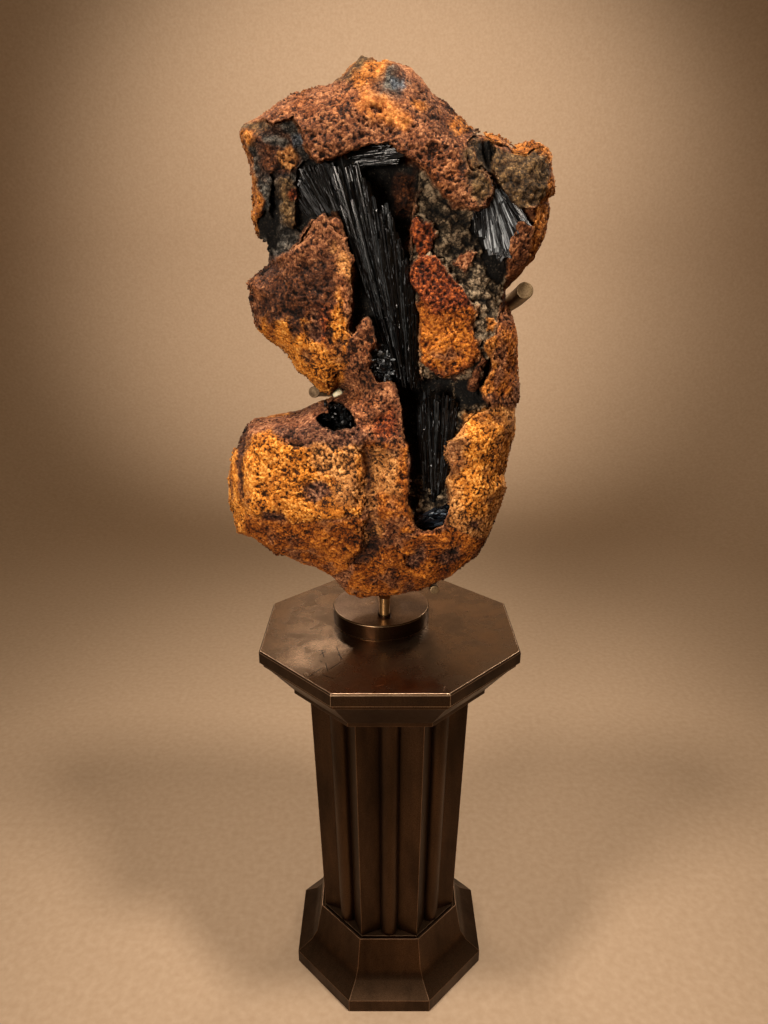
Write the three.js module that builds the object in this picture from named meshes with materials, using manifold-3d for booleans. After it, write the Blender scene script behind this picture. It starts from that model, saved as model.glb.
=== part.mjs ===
// A vivianite specimen held on a round bronze stand, on an octagonal bronze pedestal.
// Millimetres, +Z up. The origin is the middle of the pedestal's underside, and +Y is the back.
import * as THREE from 'three';
import { mergeVertices } from 'three/addons/utils/BufferGeometryUtils.js';
import Module from 'manifold-3d';

const wasm = await Module();
wasm.setup();

// ---------- driving dimensions ----------

const gap = 0.3; // between a piece and the neighbour that it is fitted to

// pedestal, as regular octagons measured across their flats
const topFlats = 500;
const topThickness = 26;
const topBevel = 3;
const capLipFlats = 486;
const capNeckFlats = 378;
const shaftTopFlats = 320;
const shaftFootFlats = 286;
const reedRadius = 20; // the round reed on each face, at the top of the shaft
const valleyDepth = 19;
const baseFlats = 412;
const baseWaistFlats = 326;
const baseRimFlats = 302;
const grooveWidth = 6;
const grooveDepth = 7;

// heights of the pedestal's joints
const baseLipZ = 30;
const baseWaistZ = 68;
const baseTopZ = 141;
const capFootZ = 704;
const capNeckZ = 712;
const capLipZ = 782;
const capTopZ = 787;
const topZ = capTopZ + topThickness;

// stand
const discX = -17;
const discY = 35;
const discRadius = 98.5;
const discTopZ = topZ + 32.5;
const postX = -10;
const postY = -18;
const postRadius = 11;
const collarHeight = 5;
const collarRadius = 13.5;
const cradleZ = 880; // middle of the bar under the rock
const spineY = 128; // middle of the bar up the back
const barWidth = 34;
const barThickness = 12;
const spineTopZ = 1440;

// rock: its outline is drawn as someone standing in front sees it, so each outline point lies
// where the line from the eye crosses the plane y = 0
const eye = new THREE.Vector3(-11, -1347, 1527);

// ---------- helpers ----------

const group = new THREE.Group();

function addPiece(name, geometry, color, roughness, metalness) {
  const material = new THREE.MeshStandardMaterial({ color, roughness, metalness });
  const mesh = new THREE.Mesh(geometry, material);
  mesh.name = name;
  group.add(mesh);
  return mesh;
}

const bronze = (name, geometry) => addPiece(name, geometry, 0x3a2a20, 0.45, 0.9);
const crystal = (name, geometry, color = 0x14161a) => addPiece(name, geometry, color, 0.2, 0.1);

function weld(geometry) {
  const positions = new THREE.BufferGeometry();
  positions.setAttribute('position', geometry.getAttribute('position'));
  positions.setIndex(geometry.index);
  return mergeVertices(positions, 1e-4);
}

function toSolid(geometry) {
  const welded = weld(geometry);
  const mesh = new wasm.Mesh({
    numProp: 3,
    vertProperties: new Float32Array(welded.getAttribute('position').array),
    triVerts: new Uint32Array(welded.index.array),
  });
  return new wasm.Manifold(mesh);
}

function toGeometry(solid) {
  const mesh = solid.getMesh();
  const geometry = new THREE.BufferGeometry();
  geometry.setAttribute('position', new THREE.BufferAttribute(mesh.vertProperties, 3));
  geometry.setIndex(new THREE.BufferAttribute(mesh.triVerts, 1));
  return geometry;
}

const join = (solids) => solids.reduce((whole, solid) => whole.add(solid));

// closed skin over a stack of rings that all have the same number of points; rings run
// counter-clockwise seen from +Z and go upward
function skinRings(rings) {
  const count = rings[0].length;
  const points = rings.flat();
  const index = [];
  for (let r = 0; r + 1 < rings.length; r++) {
    for (let i = 0; i < count; i++) {
      const a = r * count + i;
      const b = r * count + ((i + 1) % count);
      index.push(a, b, b + count, a, b + count, a + count);
    }
  }
  const flat = (ring) => ring.map((p) => new THREE.Vector2(p.x, p.y));
  const lastStart = (rings.length - 1) * count;
  for (const [a, b, c] of THREE.ShapeUtils.triangulateShape(flat(rings[0]), [])) {
    index.push(a, c, b);
  }
  for (const [a, b, c] of THREE.ShapeUtils.triangulateShape(flat(rings[rings.length - 1]), [])) {
    index.push(lastStart + a, lastStart + b, lastStart + c);
  }
  const geometry = new THREE.BufferGeometry().setFromPoints(points);
  geometry.setIndex(index);
  return geometry;
}

// value at a height on a list of [height, value] that goes down
function valueAt(list, z) {
  if (z >= list[0][0]) return list[0][1];
  for (let i = 1; i < list.length; i++) {
    const [lowZ, lowValue] = list[i];
    const [highZ, highValue] = list[i - 1];
    if (z >= lowZ) {
      return THREE.MathUtils.mapLinear(z, lowZ, highZ, lowValue, highValue);
    }
  }
  return list[list.length - 1][1];
}

// the point at depth y that is seen over the point (x, z) of the plane y = 0
function seenAt(x, z, y) {
  const along = (y - eye.y) / -eye.y;
  return new THREE.Vector3(eye.x + (x - eye.x) * along, y, eye.z + (z - eye.z) * along);
}

// ---------- pedestal ----------

// octagonal turning: a profile of [across flats, height] from the axis out and back
function octagon(profile) {
  const points = profile.map(([flats, z]) => new THREE.Vector2(flats / 2 / Math.cos(Math.PI / 8), z));
  return new THREE.LatheGeometry(points, 8, Math.PI / 8).rotateX(Math.PI / 2);
}

function pedestalBase() {
  const ledgeFlats = baseRimFlats - 2 * grooveWidth - 4;
  return octagon([
    [0, 0],
    [baseFlats, 0],
    [baseFlats, baseLipZ],
    [baseWaistFlats + 26, baseLipZ + 13],
    [baseWaistFlats, baseWaistZ],
    [baseRimFlats, baseTopZ],
    [baseRimFlats - 4, baseTopZ],
    [baseRimFlats - 4, baseTopZ - grooveDepth],
    [ledgeFlats, baseTopZ - grooveDepth],
    [ledgeFlats, baseTopZ],
    [0, baseTopZ],
  ]);
}

// one level of the shaft: an arris at each corner and a round reed on each face
function shaftRing(flats, z) {
  const scale = flats / shaftTopFlats;
  const reed = reedRadius * scale;
  const depth = valleyDepth * scale;
  const halfFace = (flats / 2) * Math.tan(Math.PI / 8);
  const reedSteps = 6;
  const face = [[-halfFace, flats / 2]];
  for (let i = 0; i <= reedSteps; i++) {
    const turn = (Math.PI * i) / reedSteps;
    face.push([-reed * Math.cos(turn), flats / 2 - depth + depth * Math.sin(turn)]);
  }
  const ring = [];
  for (let side = 0; side < 8; side++) {
    const angle = (side * Math.PI) / 4;
    for (const [across, out] of face) {
      ring.push(new THREE.Vector3(
        out * Math.cos(angle) - across * Math.sin(angle),
        out * Math.sin(angle) + across * Math.cos(angle),
        z,
      ));
    }
  }
  return ring;
}

function pedestalShaft() {
  return skinRings([shaftRing(shaftFootFlats, baseTopZ), shaftRing(shaftTopFlats, capFootZ)]);
}

function pedestalCap() {
  return octagon([
    [0, capFootZ],
    [capNeckFlats, capFootZ],
    [capNeckFlats, capNeckZ],
    [capLipFlats - 8, capLipZ - 6],
    [capLipFlats, capLipZ - 4],
    [capLipFlats, capTopZ],
    [0, capTopZ],
  ]);
}

function pedestalTop() {
  return octagon([
    [0, capTopZ],
    [topFlats - 2, capTopZ],
    [topFlats, capTopZ + 1],
    [topFlats, topZ - topBevel],
    [topFlats - 2 * topBevel, topZ],
    [0, topZ],
  ]);
}

bronze('pedestal_base', pedestalBase());
bronze('pedestal_shaft', pedestalShaft());
bronze('pedestal_cap', pedestalCap());
bronze('pedestal_top', pedestalTop());

// ---------- stand ----------

// round turning about a vertical axis: a closed profile of [radius, height]
function turned(profile, x, y, segments) {
  const points = profile.map(([radius, z]) => new THREE.Vector2(radius, z));
  return new THREE.LatheGeometry(points, segments).rotateX(Math.PI / 2).translate(x, y, 0);
}

function standDisc() {
  return turned([
    [0, topZ],
    [discRadius - 1, topZ],
    [discRadius, topZ + 1],
    [discRadius, discTopZ - 2],
    [discRadius - 2, discTopZ],
    [0, discTopZ],
  ], discX, discY, 40);
}

function standCollar() {
  const inner = postRadius + gap;
  return turned([
    [inner, discTopZ],
    [collarRadius, discTopZ],
    [collarRadius, discTopZ + collarHeight - 1],
    [collarRadius - 1, discTopZ + collarHeight],
    [inner, discTopZ + collarHeight],
    [inner, discTopZ],
  ], postX, postY, 16);
}

function standPost() {
  const postTopZ = cradleZ - barThickness / 2;
  return turned([[0, discTopZ], [postRadius, discTopZ], [postRadius, postTopZ], [0, postTopZ]],
    postX, postY, 16);
}

function box(low, high, grow = 0) {
  const size = high.clone().sub(low).addScalar(2 * grow);
  const middle = low.clone().add(high).multiplyScalar(0.5);
  return new THREE.BoxGeometry(size.x, size.y, size.z).translate(middle.x, middle.y, middle.z);
}

// the bar under the rock, from in front of the post to the spine
function cradleBar(grow = 0) {
  const low = new THREE.Vector3(postX - barWidth / 2, postY - 30, cradleZ - barThickness / 2);
  const high = new THREE.Vector3(
    postX + barWidth / 2,
    spineY - barThickness / 2,
    cradleZ + barThickness / 2,
  );
  return box(low, high, grow);
}

function spineBar(grow = 0) {
  const low = new THREE.Vector3(
    postX - barWidth / 2,
    spineY - barThickness / 2,
    cradleZ - barThickness / 2,
  );
  const high = new THREE.Vector3(postX + barWidth / 2, spineY + barThickness / 2, spineTopZ);
  return box(low, high, grow);
}

// round rod through some points, with flat ends
function rod(points, radius, steps) {
  const section = new THREE.Shape();
  section.absarc(0, 0, radius, 0, 2 * Math.PI);
  const path = new THREE.CatmullRomCurve3(points.map((p) => new THREE.Vector3(...p)), false);
  return new THREE.ExtrudeGeometry(section, {
    steps,
    curveSegments: 6,
    extrudePath: path,
    bevelEnabled: false,
  });
}

// where each arm leaves the side of the spine
const spineLeft = postX - barWidth / 2 - gap;
const spineRight = postX + barWidth / 2 + gap;

const armSteps = 7;
const arms = {
  left_arm: {
    radius: 10.4,
    points: [
      [spineLeft, spineY, 1262],
      [-60, spineY, 1262],
      [-112, 96, 1274],
      [-132, 44, 1284],
      [-138, -6, 1291],
    ],
  },
  right_arm: {
    radius: 15,
    points: [
      [spineRight, spineY, 1400],
      [110, spineY, 1400],
      [196, 112, 1424],
      [226, 58, 1448],
      [235, -4, 1468],
    ],
  },
  lower_arm: {
    radius: 9,
    points: [
      [spineRight, spineY, 893],
      [36, spineY, 893],
      [80, 80, 886],
      [90, -6, 895],
    ],
  },
};

bronze('stand_disc', standDisc());
bronze('stand_collar', standCollar());
bronze('stand_post', standPost());
bronze('stand_cradle', cradleBar());
bronze('stand_spine', spineBar());
for (const [name, arm] of Object.entries(arms)) {
  bronze(name, rod(arm.points, arm.radius, armSteps));
}
const padPoints = [[-95, 14, 1287], [-95, -8, 1287]];
addPiece('left_pad', rod(padPoints, 9.8, 1), 0xd8cfb8, 0.5, 0);

// ---------- crystals ----------

// One blade: a four-sided bar that narrows to a chisel tip. Its foot and tip are given as
// [x, z, y], where (x, z) is the place on the plane y = 0 that it is seen over.
function blade([foot, tip, width, thickness, roll = 0], grow = 0) {
  const from = seenAt(foot[0], foot[1], foot[2]);
  const to = seenAt(tip[0], tip[1], tip[2]);
  const length = from.distanceTo(to) + 2 * grow;
  const halfWidth = width / 2 + grow;
  const halfThickness = thickness / 2 + grow;
  const shoulder = length - Math.min(width, length / 3) / 2;
  const section = (z, wide, thick) => [
    [-wide, 0], [-wide * 0.2, -thick], [wide, 0], [wide * 0.2, thick],
  ].map(([x, y]) => new THREE.Vector3(x, y, z));
  const geometry = skinRings([
    section(0, halfWidth, halfThickness),
    section(shoulder, halfWidth, halfThickness),
    section(length, halfWidth * 0.45, halfThickness * 0.3 + grow),
  ]);
  const up = to.clone().sub(from).normalize();
  const side = new THREE.Vector3(0, 1, 0).cross(up).normalize().applyAxisAngle(up, roll);
  const turn = new THREE.Matrix4().makeBasis(side, up.clone().cross(side), up);
  turn.setPosition(from.clone().addScaledVector(up, -grow));
  return geometry.applyMatrix4(turn);
}

const sprays = {
  fan_crystals: [
    [[14, 1296, -52], [-90, 1660, -84], 20, 26],
    [[10, 1300, -54], [-72, 1676, -92], 22, 26, 0.2],
    [[14, 1300, -58], [-50, 1656, -100], 22, 28, -0.2],
    [[18, 1300, -60], [-30, 1630, -104], 22, 28, 0.1],
    [[20, 1300, -60], [-8, 1620, -106], 24, 28, -0.3],
    [[24, 1300, -60], [6, 1580, -104], 20, 26, 0.2],
    [[26, 1300, -58], [22, 1540, -98], 20, 26, -0.1],
    [[28, 1296, -56], [38, 1470, -90], 22, 24, 0.3],
    [[6, 1318, -54], [-54, 1540, -82], 24, 26],
    [[0, 1330, -50], [-24, 1440, -78], 24, 24],
  ],
  plate_crystals: [
    [[-110, 1596, -62], [-148, 1640, -88], 22, 24],
    [[-104, 1594, -62], [-138, 1652, -90], 22, 24, 0.2],
    [[-102, 1606, -62], [-118, 1656, -88], 20, 24, -0.2],
    [[-120, 1592, -60], [-154, 1612, -86], 22, 24],
    [[-128, 1586, -60], [-156, 1588, -84], 20, 22, 0.2],
    [[-134, 1630, -76], [-138, 1676, -88], 16, 16],
    [[-112, 1630, -74], [-108, 1670, -88], 16, 16],
  ],
  shelf_crystals: [
    [[22, 1680, -60], [-64, 1682, -88], 14, 20],
    [[20, 1688, -62], [-36, 1694, -92], 12, 20, 0.1],
    [[18, 1672, -60], [-52, 1670, -86], 12, 18, -0.1],
    [[24, 1690, -62], [-4, 1700, -94], 10, 16],
  ],
  right_crystals: [
    [[180, 1490, -60], [146, 1650, -66], 26, 24], // the root that the rest stand on
    [[164, 1606, -60], [214, 1596, -70], 22, 22],
    [[178, 1524, -62], [170, 1588, -100], 26, 14, 0.1],
    [[188, 1516, -62], [181, 1588, -98], 24, 14, -0.2],
    [[172, 1536, -60], [139, 1578, -94], 16, 14],
    [[150, 1626, -60], [140, 1698, -92], 18, 14, 0.2],
    [[176, 1634, -62], [203, 1600, -92], 14, 20],
    [[200, 1602, -62], [240, 1578, -90], 14, 18],
    [[172, 1612, -64], [210, 1558, -96], 14, 12, 0.2],
    [[174, 1500, -60], [156, 1548, -92], 14, 12],
  ],
  lower_crystals: [
    [[62, 1292, -30], [60, 1176, -58], 20, 22],
    [[78, 1290, -30], [72, 1140, -62], 22, 24, 0.2],
    [[92, 1286, -30], [86, 1090, -64], 22, 24, -0.2],
    [[106, 1282, -30], [100, 1150, -60], 20, 22, 0.1],
    [[118, 1272, -30], [112, 1210, -56], 18, 20],
    [[50, 1286, -28], [48, 1216, -54], 16, 18],
  ],
  floor_crystals: [
    [[60, 1030, -60], [66, 1054, -92], 18, 20],
    [[76, 1026, -62], [74, 1062, -96], 18, 20, 0.3],
    [[92, 1030, -62], [90, 1058, -94], 18, 20, -0.3],
    [[106, 1036, -60], [102, 1064, -88], 16, 18],
  ],
  pocket_crystals: [
    [[-96, 1236, -70], [-100, 1264, -104], 16, 16],
    [[-84, 1236, -70], [-78, 1256, -102], 14, 16, 0.3],
    [[-110, 1234, -72], [-124, 1244, -106], 14, 16, -0.3],
    [[-92, 1232, -74], [-96, 1220, -108], 16, 16],
    [[-74, 1236, -70], [-68, 1246, -100], 14, 14],
    [[-104, 1236, -72], [-70, 1232, -100], 12, 14],
  ],
  glint_crystals: [
    [[-30, 1324, -72], [-46, 1346, -102], 14, 14],
    [[-26, 1330, -70], [-32, 1362, -102], 14, 14, 0.3],
    [[-26, 1328, -72], [-20, 1350, -104], 12, 14, -0.3],
    [[-30, 1330, -72], [-50, 1326, -98], 12, 12],
    [[-28, 1330, -72], [-20, 1312, -98], 12, 12],
  ],
};

const spraySolid = (blades, grow) => join(blades.map((one) => toSolid(blade(one, grow))));

for (const [name, blades] of Object.entries(sprays)) {
  crystal(name, toGeometry(spraySolid(blades, 0)));
}

// ---------- rock ----------

// left and right edge of the rock at each height, from the top down: [height, x]
const leftEdge = [
  [1826, -40], [1817, -57], [1807, -67], [1795, -81], [1785, -96], [1775, -150], [1761, -182],
  [1748, -198], [1731, -231], [1714, -248], [1695, -244], [1667, -235], [1632, -231],
  [1589, -234], [1556, -226], [1544, -209], [1512, -206], [1494, -231], [1475, -248],
  [1439, -246], [1401, -237], [1383, -215], [1362, -188], [1340, -174], [1320, -161],
  [1301, -126], [1292, -88], [1280, -108], [1266, -138], [1251, -171], [1241, -229],
  [1232, -264], [1219, -273], [1188, -284], [1159, -300], [1099, -308], [1059, -303],
  [1015, -297], [1006, -272], [984, -241], [964, -200], [946, -152], [917, -109], [892, -90],
  [876, -68], [868, -54],
];
const rightEdge = [
  [1826, -28], [1817, 5], [1800, 41], [1781, 61], [1763, 84], [1739, 114], [1722, 132],
  [1708, 178], [1702, 244], [1693, 259], [1682, 267], [1660, 268], [1634, 277], [1589, 273],
  [1548, 264], [1518, 249], [1489, 222], [1472, 202], [1446, 206], [1391, 226], [1304, 236],
  [1235, 233], [1174, 225], [1107, 223], [1063, 211], [1003, 191], [966, 172], [934, 133],
  [917, 112], [897, 73], [886, 16], [876, -37], [868, -50],
];

// how far the rock reaches forward and back of y = 0 at each height
const frontReach = [
  [1826, 12], [1800, 52], [1760, 88], [1700, 108], [1560, 112], [1450, 120], [1300, 108],
  [1200, 132], [1060, 132], [1000, 112], [950, 84], [900, 48], [868, 20],
];
const backReach = [
  [1826, 14], [1800, 48], [1760, 78], [1700, 96], [1560, 116], [1400, 124], [1150, 128],
  [1000, 126], [940, 118], [900, 96], [868, 60],
];

// lobes (positive) and hollows (negative) of the front: [x, z, half width, half height, reach]
const frontRelief = [
  [-175, 1120, 120, 90, 22], // lower left lobe
  [-160, 1450, 80, 80, 16], // left crust lobe
  [20, 1740, 130, 36, 14], // top crust
  [-200, 1630, 52, 90, -34], // dark upper left face
  [-30, 1500, 66, 150, -38], // behind the big fan
  [-28, 1336, 40, 40, -34], // behind the glint crystals
  [0, 1630, 56, 34, -50], // void under the top crust
  [-20, 1680, 60, 24, -46], // behind the shelf of crystals
  [-120, 1620, 40, 40, -24], // behind the upper left plate
  [180, 1560, 40, 70, -22], // behind the right blades
  [80, 1290, 70, 60, -24],
  [75, 1150, 50, 120, -96], // lower hollow
  [-94, 1240, 40, 26, -34], // pocket
  [-45, 975, 30, 26, -22], // cleft under the lobe
];

const ringStep = 30;
const frontPoints = 17;
const backPoints = 9;

// 1 at the middle of a lobe, falling smoothly to 0 at its rim
function lobeShare(x, z, [lobeX, lobeZ, halfWidth, halfHeight]) {
  const reach = Math.hypot((x - lobeX) / halfWidth, (z - lobeZ) / halfHeight);
  return 1 - THREE.MathUtils.smoothstep(reach, 0.45, 1.15);
}

function frontDepth(x, z, u) {
  const rounding = Math.pow(1 - Math.pow(Math.abs(u), 3), 0.5);
  const relief = frontRelief.reduce((sum, lobe) => sum + lobe[4] * lobeShare(x, z, lobe), 0);
  return -Math.max(valueAt(frontReach, z) * rounding + relief * rounding, 4);
}

function backDepth(x, z, u) {
  const rounding = Math.pow(1 - Math.pow(Math.abs(u), 2.6), 0.5);
  const lumps = 5 * Math.sin(x / 37 + z / 53) + 4 * Math.sin(z / 31 - x / 61);
  return Math.max((valueAt(backReach, z) + lumps) * rounding, 4);
}

function rockRing(z) {
  const left = valueAt(leftEdge, z);
  const right = valueAt(rightEdge, z);
  const middle = (left + right) / 2;
  const half = (right - left) / 2;
  const ring = [];
  for (let i = 0; i < frontPoints; i++) {
    const u = -Math.cos((Math.PI * i) / frontPoints) * 0.35 + (i / frontPoints * 2 - 1) * 0.65;
    const x = middle + half * u;
    ring.push(i === 0 ? seenAt(left, z, 0) : seenAt(x, z, frontDepth(x, z, u)));
  }
  for (let i = 0; i < backPoints; i++) {
    const u = Math.cos((Math.PI * i) / backPoints);
    const x = middle + half * u;
    ring.push(new THREE.Vector3(x, i === 0 ? 0 : backDepth(x, z, u), z));
  }
  return ring;
}

function rockBody() {
  const levels = [868, 878, 892];
  for (let z = 908; z < 1816; z += ringStep) levels.push(z);
  levels.push(1236, 1252, 1268, 1282, 1295, 1816, 1826);
  levels.sort((a, b) => a - b);
  return skinRings([...new Set(levels)].map(rockRing));
}

function rock() {
  const fitted = [
    ...Object.values(sprays).map((blades) => spraySolid(blades, gap)),
    toSolid(cradleBar(gap)),
    toSolid(spineBar(gap)),
    toSolid(rod(padPoints, 9.8 + gap, 1)),
    ...Object.values(arms).map((arm) => toSolid(rod(arm.points, arm.radius + gap, armSteps))),
  ];
  const bodies = toSolid(rockBody()).subtract(join(fitted)).decompose();
  bodies.sort((a, b) => b.volume() - a.volume()); // crumbs between the blades are dropped
  return toGeometry(bodies[0]);
}

addPiece('rock', rock(), 0x8a5a30, 0.95, 0);

export default group;
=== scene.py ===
import math
import bpy
import bmesh
import numpy as np
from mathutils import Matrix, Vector


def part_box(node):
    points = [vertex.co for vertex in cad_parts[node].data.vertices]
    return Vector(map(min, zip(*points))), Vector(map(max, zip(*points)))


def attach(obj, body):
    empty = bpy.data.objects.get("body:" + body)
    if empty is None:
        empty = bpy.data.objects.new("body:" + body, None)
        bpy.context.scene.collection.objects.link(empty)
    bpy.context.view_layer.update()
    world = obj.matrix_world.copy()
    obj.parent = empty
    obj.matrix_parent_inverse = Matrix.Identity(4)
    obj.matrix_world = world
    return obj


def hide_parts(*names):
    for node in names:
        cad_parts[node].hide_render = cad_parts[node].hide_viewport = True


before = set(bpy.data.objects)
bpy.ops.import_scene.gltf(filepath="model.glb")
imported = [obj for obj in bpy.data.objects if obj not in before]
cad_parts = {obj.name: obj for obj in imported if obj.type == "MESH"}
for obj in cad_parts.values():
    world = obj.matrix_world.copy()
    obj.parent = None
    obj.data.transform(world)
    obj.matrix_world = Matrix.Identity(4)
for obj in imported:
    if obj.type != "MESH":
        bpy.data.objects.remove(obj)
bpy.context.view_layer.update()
mm = 0.001

# every place on the specimen is drawn as (x, z) in millimetres on the plane y = 0, where the
# viewer's eye sees it
viewer = {
    "eye": (-11.0, -1347.0, 1527.0),  # mm
    "lookDown": 19.2,  # degrees
    "lens": 26.0,  # mm on a 24 x 36 upright frame
}


def seenAt(x, z, y):
    # where a point drawn at (x, z) lies at depth y; behind y = 0 it goes straight back
    eyeX, eyeY, eyeZ = viewer["eye"]
    along = (np.minimum(y, 0.0) - eyeY) / -eyeY
    return np.stack([eyeX + (x - eyeX) * along, y + 0 * along, eyeZ + (z - eyeZ) * along], axis=-1)


# colours and materials

def linear(hexColour):
    parts = [int(hexColour[i:i + 2], 16) / 255 for i in (1, 3, 5)]
    return tuple(c / 12.92 if c <= 0.04045 else ((c + 0.055) / 1.055) ** 2.4 for c in parts) + (1.0,)


def addNode(material, kind, settings=None, links=None):
    # adds one node; settings are sockets by name or number, or the node's own properties
    tree = material.node_tree
    node = tree.nodes.new("ShaderNode" + kind)
    for key, value in (settings or {}).items():
        if key == "ramp":
            elements = node.color_ramp.elements
            while len(elements) < len(value):
                elements.new(0.5)
            for element, (position, hexColour) in zip(elements, value):
                element.position = position
                element.color = linear(hexColour)
        elif isinstance(key, int) or key in node.inputs:
            node.inputs[key].default_value = linear(value) if isinstance(value, str) else value
        else:
            setattr(node, key, value)
    for socket, source in (links or {}).items():
        tree.links.new(source, node.inputs[socket])
    return node


def newMaterial(name):
    material = bpy.data.materials.new(name)
    material.use_nodes = True
    material.node_tree.nodes.clear()
    return material


# a Mix node for colours has its factor at socket 0, its colours at 6 and 7 and its result at 2
mixing = {"data_type": "RGBA"}
multiplying = {"data_type": "RGBA", "blend_type": "MULTIPLY", 0: 1.0}


# noise and shape tools on arrays of points, in millimetres

def hashed(cells, seed):
    # a steady pseudo-random number from 0 to 1 for each whole-number cell
    total = np.zeros(cells.shape[:-1], np.uint64) + np.uint64(seed * 7919 + 17)
    for axis, factor in zip(range(cells.shape[-1]), (374761393, 668265263, 2147483647)):
        total = (total ^ (cells[..., axis].astype(np.int64).astype(np.uint64) * np.uint64(factor)))
        total = (total * np.uint64(1274126177)) & np.uint64(0xFFFFFFFFFFFF)
        total = total ^ (total >> np.uint64(17))
    return (total & np.uint64(0xFFFFFF)).astype(np.float64) / 0xFFFFFF


def softNoise(points, size, seed=0):
    # smooth noise from -1 to 1 whose lumps are about size across
    scaled = points / size
    base = np.floor(scaled)
    share = scaled - base
    share = share * share * (3 - 2 * share)
    dims = points.shape[-1]
    result = np.zeros(points.shape[:-1])
    for corner in range(2 ** dims):
        step = np.array([(corner >> axis) & 1 for axis in range(dims)])
        weight = np.prod(np.where(step == 1, share, 1 - share), axis=-1)
        result += weight * hashed(base + step, seed)
    return result * 2 - 1


def roughNoise(points, size, octaves, seed=0):
    # each octave is shifted, half as large and about half as strong as the one before
    total, weight, norm = 0.0, 1.0, 0.0
    for octave in range(octaves):
        total = total + weight * softNoise(points + 31.7 * octave, size / 2 ** octave, seed + octave)
        norm += weight
        weight *= 0.55
    return total / norm


def cellNoise(points, size, seed=0):
    # distance to the nearest of one scattered point per cell, in cells
    scaled = points / size
    base = np.floor(scaled)
    dims = points.shape[-1]
    nearest = np.full(points.shape[:-1], 9.0)
    for index in range(3 ** dims):
        step = np.array([(index // 3 ** axis) % 3 - 1 for axis in range(dims)])
        cell = base + step
        place = cell + np.stack([hashed(cell, seed + axis) for axis in range(dims)], axis=-1)
        nearest = np.minimum(nearest, ((scaled - place) ** 2).sum(axis=-1))
    return np.sqrt(nearest)


def smoothStep(low, high, value):
    share = np.clip((value - low) / (high - low), 0, 1)
    return share * share * (3 - 2 * share)


def insideDistance(x, z, outline):
    # distance to a closed outline, positive inside it
    nearest = np.full(x.shape, 1e9)
    inside = np.zeros(x.shape, bool)
    for (ax, az), (bx, bz) in zip(outline, outline[1:] + outline[:1]):
        dx, dz = bx - ax, bz - az
        share = np.clip(((x - ax) * dx + (z - az) * dz) / (dx * dx + dz * dz), 0, 1)
        nearest = np.minimum(nearest, (x - ax - share * dx) ** 2 + (z - az - share * dz) ** 2)
        if az != bz:
            crosses = (az > z) != (bz > z)
            inside ^= crosses & (x < ax + (z - az) * dx / dz)
    return np.where(inside, 1, -1) * np.sqrt(nearest)


def netSurface(field, axes):
    # closed skin where a field on a grid passes through 0, as vertices and outward quads
    corners = [(i, j, k) for i in (0, 1) for j in (0, 1) for k in (0, 1)]
    shape = tuple(n - 1 for n in field.shape)
    inside = field > 0
    count = np.zeros(shape, np.int8)
    for i, j, k in corners:
        count += inside[i:i + shape[0], j:j + shape[1], k:k + shape[2]]
    cells = np.argwhere((count > 0) & (count < 8))
    number = np.full(shape, -1, np.int32)
    number[tuple(cells.T)] = np.arange(len(cells))
    values = np.stack([field[cells[:, 0] + i, cells[:, 1] + j, cells[:, 2] + k]
                       for i, j, k in corners], axis=1)
    total = np.zeros((len(cells), 3))
    hits = np.zeros(len(cells))
    for a in range(8):
        for b in range(a + 1, 8):
            step = np.subtract(corners[b], corners[a])
            if np.abs(step).sum() != 1:
                continue
            first, second = values[:, a], values[:, b]
            crossed = (first > 0) != (second > 0)
            share = np.where(crossed, first / np.where(crossed, first - second, 1), 0)
            total += np.where(crossed[:, None], np.array(corners[a]) + share[:, None] * step, 0)
            hits += crossed
    # a cell's vertex lies at the mean of the places where its edges are crossed
    where = cells + total / hits[:, None]
    places = np.stack([np.interp(where[:, axis], np.arange(len(axes[axis])), axes[axis])
                       for axis in range(3)], axis=1)
    # each grid edge that the skin crosses gives one quad, between the four cells round it
    quads = []
    for axis in range(3):
        u, v = (axis + 1) % 3, (axis + 2) % 3
        low = np.take(inside, np.arange(field.shape[axis] - 1), axis)
        high = np.take(inside, np.arange(1, field.shape[axis]), axis)
        edges = np.argwhere(low != high)
        edges = edges[(edges[:, u] > 0) & (edges[:, v] > 0)
                      & (edges[:, u] < shape[u]) & (edges[:, v] < shape[v])]
        ring = []
        for du, dv in ((-1, -1), (0, -1), (0, 0), (-1, 0)):
            cell = edges.copy()
            cell[:, u] += du
            cell[:, v] += dv
            ring.append(number[tuple(cell.T)])
        ring = np.stack(ring, axis=1)
        leaving = low[tuple(edges.T)]
        quads.append(np.where(leaving[:, None], ring, ring[:, ::-1]))
    return places, np.concatenate(quads)


def meshPiece(name, vertices, faces, material, smooth=True):
    mesh = bpy.data.meshes.new(name)
    mesh.from_pydata(np.asarray(vertices).tolist(), [], [list(map(int, face)) for face in faces])
    mesh.materials.append(material)
    mesh.polygons.foreach_set("use_smooth", [smooth] * len(mesh.polygons))
    piece = bpy.data.objects.new(name, mesh)
    bpy.context.scene.collection.objects.link(piece)
    return piece


def settle(piece):
    # applies every modifier
    graph = bpy.context.evaluated_depsgraph_get()
    mesh = bpy.data.meshes.new_from_object(piece.evaluated_get(graph))
    piece.modifiers.clear()
    piece.data = mesh
    return piece


def standIn(piece, node):
    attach(piece, "root")
    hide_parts(node)
    return piece


# limonite rock: a dark lumpy core, with shells of rusty crust over it

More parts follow.
